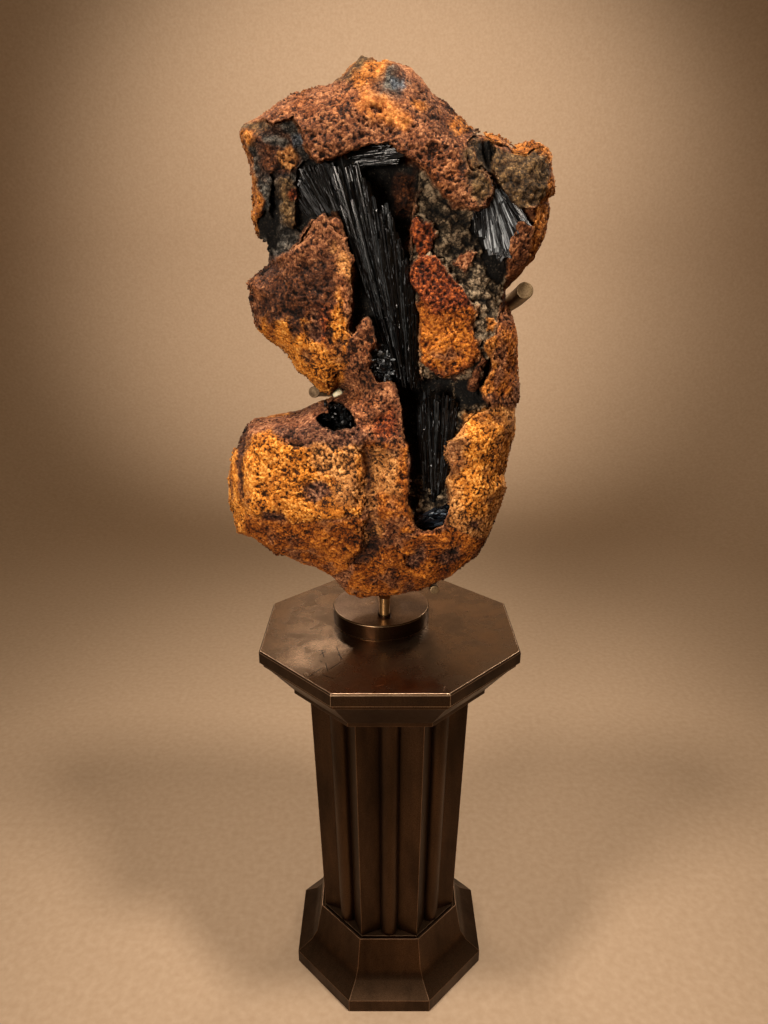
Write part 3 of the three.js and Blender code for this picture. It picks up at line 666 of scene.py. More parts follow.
def paintKinds(mesh, points, shares, tone):
    # writes three colours to mix between, for each vertex: painted pit shade, body colour and painted grain
    # highlight; and the grain tone with its painted relief shade
    dust = roughNoise(points, rock["dustSize"], 4, seed=101)
    stain = roughNoise(points, rock["stainSize"], 4, seed=111)
    rusting = roughNoise(points, rock["rustingSize"], 4, seed=121)
    # dust on the rust turns it ochre, fox-red and pink, a stain turns it brown
    dusted = shares["rust"] * smoothStep(0.05, 0.55, dust) * 0.75
    stained = shares["rust"] * smoothStep(0.1, 0.5, stain) * 0.8
    amounts = {kind: shares[kind].copy() for kind in kinds}
    amounts["rust"] -= dusted * 0.9
    amounts["ochre"] += dusted * 0.25
    amounts["fox"] += dusted * 0.35
    amounts["pink"] += dusted * 0.3
    amounts["rust"] -= stained * amounts["rust"]
    amounts["brown"] += stained * (shares["rust"] - dusted * 0.9)
    # the ochres rust in patches
    for kind in ("gold", "tan", "amber", "ochre"):
        rusted = shares[kind] * smoothStep(0.08, 0.42, rusting) * 0.75
        amounts[kind] -= rusted
        amounts["plum"] += rusted * 0.6
        amounts["rust"] += rusted * 0.4
    total = sum(amounts.values())
    bright = 1 + 0.16 * roughNoise(points, rock["lightSize"], 3, seed=131)
    for index, name in enumerate(("pitColour", "bodyColour", "grainColour")):
        colour = sum(amounts[kind][:, None] / total[:, None] * np.array(linear(kindLooks[kind][index]))
                     for kind in kinds)
        colour[:, :3] *= bright[:, None]
        layer = mesh.attributes.new(name, "FLOAT_COLOR", "POINT")
        layer.data.foreach_set("color", colour.astype(np.float32).ravel())
    layer = mesh.attributes.new("grainTone", "FLOAT", "POINT")
    layer.data.foreach_set("value", tone.astype(np.float32))


def makeRockPiece(name, field, axes, share, material, mostTriangles, calm, edge=None):
    # skins a field over the drawn plane, roughens it and thins it
    drawn, quads = netSurface(field, axes)
    quads = quads[:, ::-1]  # drawn (x, z, y) is left-handed, so the quads turn over
    cell = [np.clip(np.searchsorted(axes[i], drawn[:, i]), 0, len(axes[i]) - 1) for i in (0, 1)]
    points = seenAt(drawn[:, 0], drawn[:, 1], drawn[:, 2])

    # the back is crusted as the front is, in broad patches
    borderSize, border = rock["backBorder"]
    atBack = smoothStep(-10, 14, drawn[:, 2] + border * roughNoise(points, borderSize, 3, seed=6) - 6)
    patches = roughNoise(points, rock["backPatch"], 3, seed=5)
    backShare = {kind: np.zeros(len(points)) for kind in kinds}
    backShare["ochre"] = smoothStep(0.08, 0.3, patches)
    backShare["olive"] = smoothStep(-0.28, -0.42, patches)
    backShare["rust"] = 1 - backShare["ochre"] - backShare["olive"]
    shares = {kind: share[kind][cell[0], cell[1]] * (1 - atBack) + backShare[kind] * atBack
              for kind in kinds}

    piece = meshPiece(name, points * mm, quads, material)
    mesh = piece.data
    normals = np.zeros(len(points) * 3)
    mesh.vertex_normals.foreach_get("vector", normals)
    height, tone = crustRelief(points, shares)
    height = height * calm(drawn, cell)
    if edge is not None:
        # the grain tone is raised towards pale along a crust's broken edge
        broken = 1 - smoothStep(1.0, 4.0, edge[cell[0], cell[1]])
        tone = tone + broken * (0.75 - tone) * 0.6
    moved = points + normals.reshape(-1, 3) * height[:, None]
    low, high = np.array(cadRock) / mm
    moved = np.clip(moved, low + rock["boxMargin"], high - rock["boxMargin"])
    mesh.vertices.foreach_set("co", (moved * mm).ravel())
    paintKinds(mesh, points, shares, tone)
    thin = piece.modifiers.new("thin", "DECIMATE")
    thin.ratio = min(1.0, mostTriangles / (2 * len(quads)))
    settle(piece)
    print(name + ":", 2 * len(quads), "triangles thinned to", len(piece.data.polygons))
    return standIn(piece, "rock")


def makeRock(material):
    step = rock["coreStep"]
    gridLow, gridHigh = rock["gridLow"], rock["gridHigh"]
    axes = tuple(np.arange(low, high, step) for low, high in zip(gridLow, gridHigh))
    rim, front, back, share, cover = rockReach(*np.meshgrid(axes[0], axes[1], indexing="ij"))
    covered = np.max(list(cover.values()), axis=0)
    core = shrunk(front, round(rock["overhang"] / step)) - rock["coreInset"] * smoothStep(-2, 8, covered)
    depth, inside = axes[2][None, None, :], rim[:, :, None] - rock["rimInset"]
    field = np.minimum(np.minimum(depth + core[:, :, None], back[:, :, None] - depth), inside)
    field = np.where(inside < 0, inside - 0.5, field)

    def calmCore(drawn, cell):
        # smooth where a crust hides it, and quieter along the outline
        under = smoothStep(4, 12, covered[cell[0], cell[1]]) * (drawn[:, 2] < -10)
        return (1 - under) * (0.5 + 0.5 * smoothStep(0, 9, rim[cell[0], cell[1]]))

    mostTriangles = rock["mostTriangles"]
    makeRockPiece("rock_core", field, axes, share, material, mostTriangles["rock_core"], calmCore)

    step, margin = rock["crustStep"], rock["crustMargin"]
    thinnest, wholeAt = rock["thinEdge"]
    for name, patches in crustCovers.items():
        corners = np.concatenate([np.asarray(patch) for patch in patches])
        low = np.maximum(corners.min(axis=0) - margin, gridLow[:2])
        high = np.minimum(corners.max(axis=0) + margin, gridHigh[:2])
        axes = (np.arange(low[0], high[0], step), np.arange(low[1], high[1], step),
                np.arange(*rock["crustDepths"], step * rock["crustDepthStep"]))
        rim, front, back, share, cover = rockReach(*np.meshgrid(axes[0], axes[1], indexing="ij"))
        thick = rock["crustThickness"] * np.clip(thinnest + rim / wholeAt, thinnest, 1)
        edge = np.minimum(rim, cover[name])
        depth = axes[2][None, None, :]
        field = np.minimum(depth + front[:, :, None], (thick - front)[:, :, None] - depth)
        field = np.minimum(field, edge[:, :, None] - rock["tuck"] * np.maximum(depth, 0))

        def calmCrust(drawn, cell, front=front, thick=thick, edge=edge):
            # smooth on the inside of the crust, and quieter along its edge
            inward = drawn[:, 2] + front[cell[0], cell[1]]
            seen = (inward < thick[cell[0], cell[1]] * 0.6) | (edge[cell[0], cell[1]] < 5)
            return seen * (0.5 + 0.5 * smoothStep(0, 9, edge[cell[0], cell[1]]))

        makeRockPiece(name, field, axes, share, material, mostTriangles[name], calmCrust, edge)


limonite = {
    "wormSize": 2.6,  # mm; the threads of grains inside a patch
    "dustSize": 18,  # clouds of paler dust
    "crumbSize": 4.6,  # single crumbs, drawn coarse enough to show
    "crumbWander": 4,  # how far a crumb's outline strays
    "glintSize": 1.7,  # painted glints: pale flecks on the grains for crystal faces that catch the light
    "glintTint": "#ffe6c4",
    "dustShade": ("#b4a79e", "#ffffff"),
    "bumpHeight": 2.2,
}


def limoniteMaterial():
    # limonite crust: iron rust and earthy ochre, dull and full of pits, over a dark lumpy core
    material = newMaterial("limonite crust, weathered")
    place = addNode(material, "TexCoord").outputs["Object"]
    pits, body, grains = (addNode(material, "Attribute", {"attribute_name": name}).outputs["Color"]
                          for name in ("pitColour", "bodyColour", "grainColour"))
    tone = addNode(material, "Attribute", {"attribute_name": "grainTone"}).outputs["Fac"]
    wormScale, dustScale = 1 / (limonite["wormSize"] * mm), 1 / (limonite["dustSize"] * mm)
    worms = addNode(material, "TexNoise", {"Scale": wormScale, "Detail": 3.0, "Roughness": 0.62,
                                           "Distortion": 1.1}, {"Vector": place}).outputs[0]
    dust = addNode(material, "TexNoise", {"Scale": dustScale, "Detail": 4.0, "Roughness": 0.6},
                   {"Vector": place}).outputs[0]
    fine = addNode(material, "MapRange", {"From Min": 0.34, "From Max": 0.66, "To Min": -0.7,
                                          "To Max": 0.6}, {"Value": worms}).outputs[0]
    level = addNode(material, "Math", {"operation": "ADD"}, {0: tone, 1: fine}).outputs[0]

    # crumbs: each has its own tone at random, with a dark gap of painted shade round it
    crumbSize, crumbWander = limonite["crumbSize"] * mm, limonite["crumbWander"] * mm
    wander = addNode(material, "TexNoise", {"Scale": 1 / (1.5 * crumbSize), "Detail": 2.0},
                     {"Vector": place}).outputs["Color"]
    warped = addNode(material, "VectorMath", {"operation": "MULTIPLY_ADD", 1: (crumbWander,) * 3},
                     {0: wander, 2: place}).outputs[0]
    crumbs = addNode(material, "TexVoronoi", {"Scale": 1 / crumbSize}, {"Vector": warped})
    shadeOf = addNode(material, "SeparateColor", {}, {"Color": crumbs.outputs["Color"]}).outputs[0]
    own = addNode(material, "MapRange", {"To Min": -0.35, "To Max": 0.6}, {"Value": shadeOf}).outputs[0]
    gapShade = addNode(material, "MapRange", {"From Min": 0.5, "From Max": 0.85, "To Max": -0.8},
                  {"Value": crumbs.outputs["Distance"]}).outputs[0]
    for part in (own, gapShade):
        level = addNode(material, "Math", {"operation": "ADD"}, {0: level, 1: part}).outputs[0]

    # the level picks the colour: painted pit shade, body or painted grain highlight, with painted glints on
    # the grains
    inPit = addNode(material, "MapRange", {"From Min": -0.1, "From Max": -0.95},
                    {"Value": level}).outputs[0]
    onGrain = addNode(material, "MapRange", {"From Min": 0.1, "From Max": 1.2},
                      {"Value": level}).outputs[0]
    colour = addNode(material, "Mix", mixing, {0: onGrain, 6: body, 7: grains}).outputs[2]
    colour = addNode(material, "Mix", mixing, {0: inPit, 6: colour, 7: pits}).outputs[2]
    glintScale = 1 / (limonite["glintSize"] * mm)
    glintNoise = addNode(material, "TexNoise", {"Scale": glintScale, "Detail": 1.0},
                     {"Vector": place}).outputs[0]
    bright = addNode(material, "MapRange", {"From Min": 0.62, "From Max": 0.72, "To Max": 0.75},
                     {"Value": glintNoise}).outputs[0]
    bright = addNode(material, "Math", {"operation": "MULTIPLY"}, {0: bright, 1: onGrain}).outputs[0]
    tinted = {**mixing, 0: 0.35, 7: limonite["glintTint"]}
    glintColour = addNode(material, "Mix", tinted, {6: grains}).outputs[2]
    colour = addNode(material, "Mix", mixing, {0: bright, 6: colour, 7: glintColour}).outputs[2]
    dull, clean = limonite["dustShade"]
    shade = addNode(material, "ValToRGB", {"ramp": [(0.34, dull), (0.62, clean)]}, {"Fac": dust}).outputs[0]
    colour = addNode(material, "Mix", multiplying, {6: colour, 7: shade}).outputs[2]

    rough = addNode(material, "MapRange", {"From Min": 0.3, "From Max": 0.7, "To Min": 0.95,
                                           "To Max": 0.72}, {"Value": dust}).outputs[0]
    height = addNode(material, "Math", {"operation": "MULTIPLY_ADD", 1: -0.6},
                     {0: crumbs.outputs["Distance"], 2: worms}).outputs[0]
    bump = addNode(material, "Bump", {"Strength": 1.0, "Distance": limonite["bumpHeight"] * mm},
                   {"Height": height})
    shader = addNode(material, "BsdfPrincipled", {"IOR": 1.6, "Specular IOR Level": 0.14},
                     {"Base Color": colour, "Roughness": rough, "Normal": bump.outputs[0]})
    addNode(material, "OutputMaterial", {}, {"Surface": shader.outputs[0]})
    return material


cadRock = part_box("rock")
makeRock(limoniteMaterial())


# vivianite crystals: long flat blades, grooved along their length

blade = {
    "sides": 10,
    "jitter": 0.3,  # how unevenly its corners are spaced
    "grooves": 0.17,  # how unevenly its section is grooved
    "steps": (0.0, 0.35, 0.7, 0.93, 1.0),  # where its sections lie, and how wide each is
    "taper": (0.8, 1.0, 1.0, 0.95, 0.88),
    "cut": 0.7,  # how slanting the broken ends are
    "bookLean": 0.35,  # how differently the books of a fan are turned, in radians
    "bookTone": 0.2,  # how much the tone varies within a book
    "tipStray": 0.008,  # how far a tip strays along its line, as a share
    "leafOffset": 2,  # how far a blade lies in front of or behind its book, in mm
    "widthShares": (0.55, 0.45),  # of a blade's width: always there, and grown towards the tips
}


def newSpray():
    # blades gathered for one mesh: grain is a place within its own blade, tone is its shade
    return {"points": [], "faces": [], "grain": [], "tone": [], "count": 0}


def addBlade(spray, rng, foot, tip, width, thickness, roll, tone):
    # one blade, from rings with jittered corners; roll turns it about its length
    foot, tip = np.asarray(foot, float), np.asarray(tip, float)
    length = np.linalg.norm(tip - foot)
    up = (tip - foot) / length
    side = np.cross(up, (0.0, 1.0, 0.0))
    side /= np.linalg.norm(side)
    out = np.cross(side, up)
    cos, sin = math.cos(roll), math.sin(roll)
    side, out = cos * side + sin * out, cos * out - sin * side
    count = blade["sides"]
    jitter = rng.uniform(-blade["jitter"], blade["jitter"], count)
    turn = (np.arange(count) + jitter) * 2 * math.pi / count
    reach = 1 + rng.uniform(-blade["grooves"], blade["grooves"], count)
    across = np.cos(turn) * reach * width / 2
    deep = np.sin(turn) * reach * thickness / 2
    slant = rng.uniform(-blade["cut"], blade["cut"], 4)
    shift = rng.uniform(0, 900, 3)
    base = spray["count"]
    for step, scale in zip(blade["steps"], blade["taper"]):
        along = np.full(count, step * length)
        if step == 1:
            along += (slant[0] * across + slant[1] * deep)
        elif step == 0:
            along += (slant[2] * across + slant[3] * deep)
        local = np.stack([across * scale, deep * scale, along], axis=1)
        spray["points"].append(foot + local[:, :1] * side + local[:, 1:2] * out + local[:, 2:] * up)
        spray["grain"].append(local + shift)
    rings = len(blade["steps"])
    for ring in range(rings - 1):
        for i in range(count):
            j = (i + 1) % count
            a, b = base + ring * count, base + (ring + 1) * count
            spray["faces"].append((a + i, a + j, b + j, b + i))
    spray["faces"].append(tuple(base + i for i in reversed(range(count))))
    spray["faces"].append(tuple(base + (rings - 1) * count + i for i in range(count)))
    spray["tone"].append(np.full(rings * count, tone))
    spray["count"] += rings * count


def onLine(line, share):
    # the point at a share of the way along a line of points
    line = np.asarray(line, float)
    lengths = np.concatenate([[0], np.cumsum(np.linalg.norm(np.diff(line, axis=0), axis=1))])
    return np.array([np.interp(share * lengths[-1], lengths, line[:, axis])
                     for axis in range(line.shape[1])])


def addFan(spray, rng, feet, tips, books, perBook, width, thickness, starts=(0.0, 0.7),
           ends=(0.78, 1.0), spread=0.035, loose=0.25, layer=7.0, reach=1.0):
    # blades run from a line of feet to a line of tips, both drawn as (x, z, y), in books of
    # neighbours that lie alike; starts, ends and reach are shares of the way from foot to tip,
    # spread is how wide a book is as a share of the fan, loose how differently its blades turn
    # in radians, and layer how far in mm it may stand before or behind the others
    always, grown = blade["widthShares"]
    for book in range(books):
        middle = (book + rng.uniform(0.1, 0.9)) / books
        standOff = rng.uniform(-layer, layer)
        lean = rng.normal(0, blade["bookLean"])
        tone = rng.uniform(0, 1)
        for leaf in range(perBook):
            share = np.clip(middle + rng.normal(0, spread), 0, 1)
            strayed = np.clip(share + rng.normal(0, blade["tipStray"]), 0, 1)
            foot, tip = onLine(feet, share), onLine(tips, strayed)
            low, high = rng.uniform(*starts), rng.uniform(*ends)
            low = max(low, high - reach * rng.uniform(0.4, 1.0))
            first, last = foot + (tip - foot) * low, foot + (tip - foot) * high
            depth = standOff + rng.uniform(-blade["leafOffset"], blade["leafOffset"])
            wide = rng.uniform(*width) * (always + grown * high)
            addBlade(spray, rng, seenAt(first[0], first[1], first[2] + depth * 0.6),
                     seenAt(last[0], last[1], last[2] + depth), wide, rng.uniform(*thickness),
                     lean + rng.normal(0, loose),
                     np.clip(tone + rng.normal(0, blade["bookTone"]), 0, 1))


def addBurr(spray, rng, outline, depth, count, length, width, aim, scatter):
    # short crystals that stand about a hollow and point roughly at the viewer
    outline = [tuple(p) for p in outline]
    low, high = np.min(outline, axis=0), np.max(outline, axis=0)
    placed = 0
    while placed < count:
        x, z = rng.uniform(low, high)
        if insideDistance(np.array([x]), np.array([z]), outline)[0] < 0:
            continue
        foot = seenAt(x, z, rng.uniform(*depth))
        heading = np.asarray(aim) + rng.normal(0, scatter, 3)
        heading /= np.linalg.norm(heading)
        wide = rng.uniform(*width)
        tip = foot + heading * rng.uniform(*length)
        addBlade(spray, rng, foot, tip, wide, wide * rng.uniform(0.4, 0.9), rng.uniform(0, math.pi),
                 rng.uniform(0, 1))
        placed += 1


def sprayPiece(name, spray, material, node):
    piece = meshPiece(name, np.concatenate(spray["points"]) * mm, spray["faces"], material, smooth=False)
    grain = piece.data.attributes.new("grain", "FLOAT_VECTOR", "POINT")
    grain.data.foreach_set("vector", (np.concatenate(spray["grain"]) * mm).astype(np.float32).ravel())
    tone = piece.data.attributes.new("tone", "FLOAT", "POINT")
    tone.data.foreach_set("value", np.concatenate(spray["tone"]).astype(np.float32))
    return standIn(piece, node)


vivianite = {
    "streakWidth": 0.9,  # mm
    "streakLength": 18,
    "fleckSize": 5,  # the painted glints stand in flecks, drawn out along the blade
    "fleckStretch": 0.3,
    "streakShade": ("#5a5a5a", "#ffffff"),
    "kinds": {
        # name, then deep and middle colours, the painted sheen colour and the painted glint colour, then
        # roughness
        # glassy: black with a few thin bright lines of painted glint
        "black": ("vivianite, black glassy blades", "#030404", "#0e0f10", "#292c2e", "#7f848a", 0.07),
        # split along the cleavage: silky, with broad pale streaks of painted sheen
        "grey": ("vivianite, grey silky blades", "#0b0c0e", "#3a3d40", "#999fa4", "#e6e8e8", 0.14),
        # a cleaved plate: dull dark grey, finely lined
        "cleaved": ("vivianite, dark grey cleaved plate", "#060707", "#1c1d1e", "#424446", "#9a9ea2", 0.12),
        # fresh faces: blue-black and clean
        "blue": ("vivianite, blue-black clean blades", "#080a0d", "#171d25", "#4b5661", "#a6b1bb", 0.1),
    },
    "seed": 11,
}


def vivianiteMaterial(name, deep, middle, sheen, light, roughness):
    # vivianite darkened in air: near-black glassy blades; a pearly grey sheen painted in at random
    # per blade and in streaks along them, and bright painted glints in flecks
    material = newMaterial(name)
    grain = addNode(material, "Attribute", {"attribute_name": "grain"}).outputs["Vector"]
    tone = addNode(material, "Attribute", {"attribute_name": "tone"}).outputs["Fac"]
    across, along = 1 / (vivianite["streakWidth"] * mm), 1 / (vivianite["streakLength"] * mm)
    stretched = addNode(material, "Mapping", {"Scale": (across, across, along)},
                        {"Vector": grain}).outputs[0]
    streaks = addNode(material, "TexNoise", {"Scale": 1.0, "Detail": 3.0, "Roughness": 0.6},
                      {"Vector": stretched}).outputs[0]
    bodyColour = addNode(material, "ValToRGB", {"ramp": [(0.0, deep), (0.7, middle), (1.0, sheen)]},
                         {"Fac": tone}).outputs[0]
    # the streaks are painted sheen, the flecks below are painted glints
    dull, clean = vivianite["streakShade"]
    streakColour = addNode(material, "ValToRGB", {"ramp": [(0.42, dull), (0.56, clean)]},
                           {"Fac": streaks}).outputs[0]
    colour = addNode(material, "Mix", multiplying, {6: bodyColour, 7: streakColour}).outputs[2]
    paintedGlint = addNode(material, "ValToRGB", {"ramp": [(0.56, "#000000"), (0.66, "#ffffff")]},
                       {"Fac": streaks}).outputs[0]
    fleck, stretch = vivianite["fleckSize"] * mm, vivianite["fleckStretch"]
    spaced = addNode(material, "Mapping", {"Scale": (1 / fleck, 1 / fleck, stretch / fleck)},
                     {"Vector": grain}).outputs[0]
    flecks = addNode(material, "TexNoise", {"Scale": 1.0, "Detail": 2.0}, {"Vector": spaced}).outputs[0]
    flecks = addNode(material, "MapRange", {"From Min": 0.56, "From Max": 0.66, "To Max": 0.8},
                     {"Value": flecks}).outputs[0]
    paintedGlint = addNode(material, "Math", {"operation": "MULTIPLY"}, {0: paintedGlint, 1: flecks}).outputs[0]
    colour = addNode(material, "Mix", {**mixing, 7: light}, {0: paintedGlint, 6: colour}).outputs[2]
    rough = addNode(material, "MapRange", {"From Min": 0.35, "From Max": 0.65, "To Min": roughness,
                                           "To Max": roughness + 0.15}, {"Value": streaks}).outputs[0]
    bump = addNode(material, "Bump", {"Strength": 0.5, "Distance": 0.6 * mm}, {"Height": streaks})
    shader = addNode(material, "BsdfPrincipled", {"IOR": 1.6, "Specular IOR Level": 0.28},
                     {"Base Color": colour, "Roughness": rough, "Normal": bump.outputs[0]})
    addNode(material, "OutputMaterial", {}, {"Surface": shader.outputs[0]})
    return material


# each spray: its kind of vivianite and its slot, then either its line of feet, its line of tips
# (both drawn as x, z and depth) and its fans, or the outline of the hollow that a burr fills
sprays = {
    "fan_crystals": {
        "kind": "black",
        "slot": "black_crystal",
        "feet": [(14, 1300, -70), (30, 1296, -74), (48, 1292, -64)],
        "tips": [(-98, 1640, -86), (-92, 1672, -92), (-80, 1688, -96), (-62, 1684, -100),
                 (-50, 1664, -104), (-34, 1626, -106), (-16, 1620, -106), (0, 1600, -104),
                 (10, 1560, -102), (30, 1520, -98), (40, 1462, -90), (50, 1400, -82)],
        "fans": [
            {"feetBack": 9, "tipsBack": 9, "books": 16, "perBook": 3, "width": (11, 17),
             "thickness": (2.5, 4.0), "starts": (0.0, 0.3), "ends": (0.86, 0.98), "layer": 1.5,
             "loose": 0.1},
            {"books": 64, "perBook": 11, "width": (2.2, 7.0), "thickness": (2.0, 5.0),
             "starts": (0.0, 0.6), "ends": (0.25, 1.0), "layer": 9.0, "spread": 0.016, "loose": 0.35,
             "reach": 0.55}],
    },
    "plate_crystals": {
        "kind": "cleaved",
        "slot": "black_crystal",
        "feet": [(-133, 1576, -60), (-104, 1582, -64), (-78, 1600, -68)],
        "tips": [(-157, 1606, -62), (-154, 1645, -68), (-144, 1668, -72), (-112, 1672, -76),
                 (-96, 1668, -80)],
        "fans": [
            {"books": 7, "perBook": 3, "width": (12, 18), "thickness": (2.0, 3.0),
             "starts": (0.0, 0.1), "ends": (0.9, 1.0), "layer": 1.0, "loose": 0.08},
            {"tipsBack": -5, "books": 30, "perBook": 9, "width": (1.5, 3.6), "thickness": (1.2, 2.6),
             "starts": (0.0, 0.6), "ends": (0.6, 1.0), "layer": 3.0, "loose": 0.15, "spread": 0.03}],
    },
    "shelf_crystals": {
        "kind": "black",
        "slot": "black_crystal",
        "feet": [(-72, 1664, -62), (-74, 1690, -68)],
        "tips": [(14, 1670, -76), (24, 1684, -84), (0, 1702, -88)],
        "fans": [
            {"books": 24, "perBook": 7, "width": (1.8, 5.0), "thickness": (1.5, 3.8),
             "starts": (0.0, 0.6), "ends": (0.55, 1.0), "layer": 6}],
    },
    "right_crystals": {
        "kind": "grey",
        "slot": "grey_crystal",
        "feet": [(138, 1694, -62), (152, 1672, -66), (168, 1655, -66)],
        "tips": [(146, 1562, -92), (162, 1545, -96), (182, 1520, -98), (200, 1514, -98),
                 (214, 1554, -96), (240, 1578, -86)],
        "fans": [
            {"books": 8, "perBook": 3, "width": (14, 24), "thickness": (2.0, 3.2),
             "starts": (0.25, 0.6), "ends": (0.85, 1.0), "layer": 3.0, "loose": 0.12},
            {"tipsBack": -4, "books": 16, "perBook": 5, "width": (1.4, 3.6), "thickness": (1.4, 3.0),
             "starts": (0.0, 0.6), "ends": (0.6, 1.0), "layer": 3.5, "loose": 0.3, "reach": 0.6}],
    },
    "lower_crystals": {
        "kind": "black",
        "slot": "black_crystal",
        "feet": [(66, 1078, -46), (86, 1074, -48), (102, 1084, -46)],
        "tips": [(52, 1258, -62), (66, 1300, -70), (98, 1300, -76), (128, 1272, -68)],
        "fans": [
            {"books": 10, "perBook": 3, "width": (8, 13), "thickness": (2.0, 3.5),
             "starts": (0.0, 0.2), "ends": (0.85, 0.98), "layer": 1.5, "loose": 0.1},
            {"tipsBack": -6, "books": 36, "perBook": 9, "width": (1.8, 5.6), "thickness": (1.6, 4.0),
             "starts": (0.0, 0.6), "ends": (0.3, 1.0), "layer": 6, "spread": 0.02, "loose": 0.35,
             "reach": 0.6}],
    },
    "floor_crystals": {
        "kind": "blue",
        "slot": "black_crystal",
        "burr": {"outline": [(48, 1030), (56, 1050), (104, 1070), (114, 1060), (100, 1034), (70, 1024)],
                 "depth": (-78, -56), "count": 80, "length": (18, 40), "width": (3, 7),
                 "aim": (0.8, -0.45, 0.42), "scatter": 0.14},
    },
    "pocket_crystals": {
        "kind": "black",
        "slot": "black_crystal",
        "burr": {"outline": [(-130, 1240), (-112, 1262), (-92, 1268), (-66, 1244), (-76, 1226),
                             (-104, 1220)],
                 "depth": (-66, -58), "count": 90, "length": (8, 20), "width": (4, 9),
                 "aim": (0, -1, 0.3), "scatter": 0.5},
    },
    "glint_crystals": {
        "kind": "grey",
        "slot": "grey_crystal",
        "burr": {"outline": [(-32, 1362), (-10, 1370), (4, 1352), (2, 1322), (-14, 1314), (-32, 1332)],
                 "depth": (-80, -68), "count": 90, "length": (6, 16), "width": (3, 8),
                 "aim": (0, -0.9, 0.3), "scatter": 0.6},
    },
}


def movedBack(line, distance):
    # depth grows away from the viewer
    return [(x, z, y + distance) for x, z, y in line]


def makeCrystals():
    materials = {kind: vivianiteMaterial(*look) for kind, look in vivianite["kinds"].items()}
    rng = np.random.default_rng(vivianite["seed"])
    for node, values in sprays.items():
        spray = newSpray()
        for fan in values.get("fans", ()):
            fan = dict(fan)
            feet = movedBack(values["feet"], fan.pop("feetBack", 0))
            tips = movedBack(values["tips"], fan.pop("tipsBack", 0))
            addFan(spray, rng, feet, tips, **fan)
        if "burr" in values:
            addBurr(spray, rng, **values["burr"])
        sprayPiece(node + "_bladed", spray, materials[values["kind"]], node)
        print(node + ":", len(spray["faces"]), "faces")


makeCrystals()


# pedestal and stand: cast bronze below, turned and bent bronze above

pedestal = {
    "base": [(412, 0), (412, 30), (352, 51), (326, 71), (302, 141), (298, 141), (298, 134), (286, 134),
             (286, 141)],  # (across flats, height)
    "cap": [(378, 704), (378, 712), (478, 776), (486, 778), (486, 787)],
    "slab": [(498, 787), (500, 788), (500, 810), (494, 813)],
    "shaftFlats": (286, 320),  # at the foot and at the top
    "shaftHeights": (141, 704),
    "reed": 20,  # half the width of the round reed on each face, at the top
    "valley": 19,  # how deep it stands in
    "reedSteps": 15,
    "wornEdge": 0.9,  # width of the rubbed arrises
    "looks": {
        # name, dark and light colour, roughness, size of the patches in mm
        # cast and patinated: dark and cloudy, with a broad soft gleam
        "cast": ("bronze, cast, dark brown patina", "#382a1e", "#4f3c2c", 0.42, 60),
        # rubbed through: a thin warm line along each arris
        "rubbed": ("bronze, patina rubbed through on the arrises", "#6b5340", "#8a6e56", 0.36, 30),
        # waxed and buffed: mirrors the lamps softly, in patches
        "polished": ("bronze, rubbed and waxed slab", "#6e5a46", "#917961", 0.25, 60),
        # worn down to the metal: a pale line round the slab
        "bright": ("bronze, worn bright along the slab", "#b0927a", "#cbb092", 0.34, 30),
    },
    "castStreak": 3.0,  # how far the cast patches are drawn out upright
    "scratchWidth": 2.4,
    "scratches": [  # (x, y, turn in degrees, length, colour) on the slab's top
        (-129, -100, 16, 19, "#120b07"), (-127, -110, 54, 22, "#120b07"), (-127, -112, -76, 34, "#120b07"),
        (-116, -161, -78, 35, "#120b07"), (-101, -156, 54, 39, "#120b07"), (-96, -112, -75, 59, "#120b07"),
        (-112, -193, -34, 33, "#120b07"), (-134, -177, 55, 44, "#120b07"), (-128, -141, -53, 9, "#120b07"),
        (-93, -123, -62, 25, "#120b07"), (-18, -222, 24, 16, "#d9c3a6"), (94, -232, -104, 19, "#d9c3a6")],
}
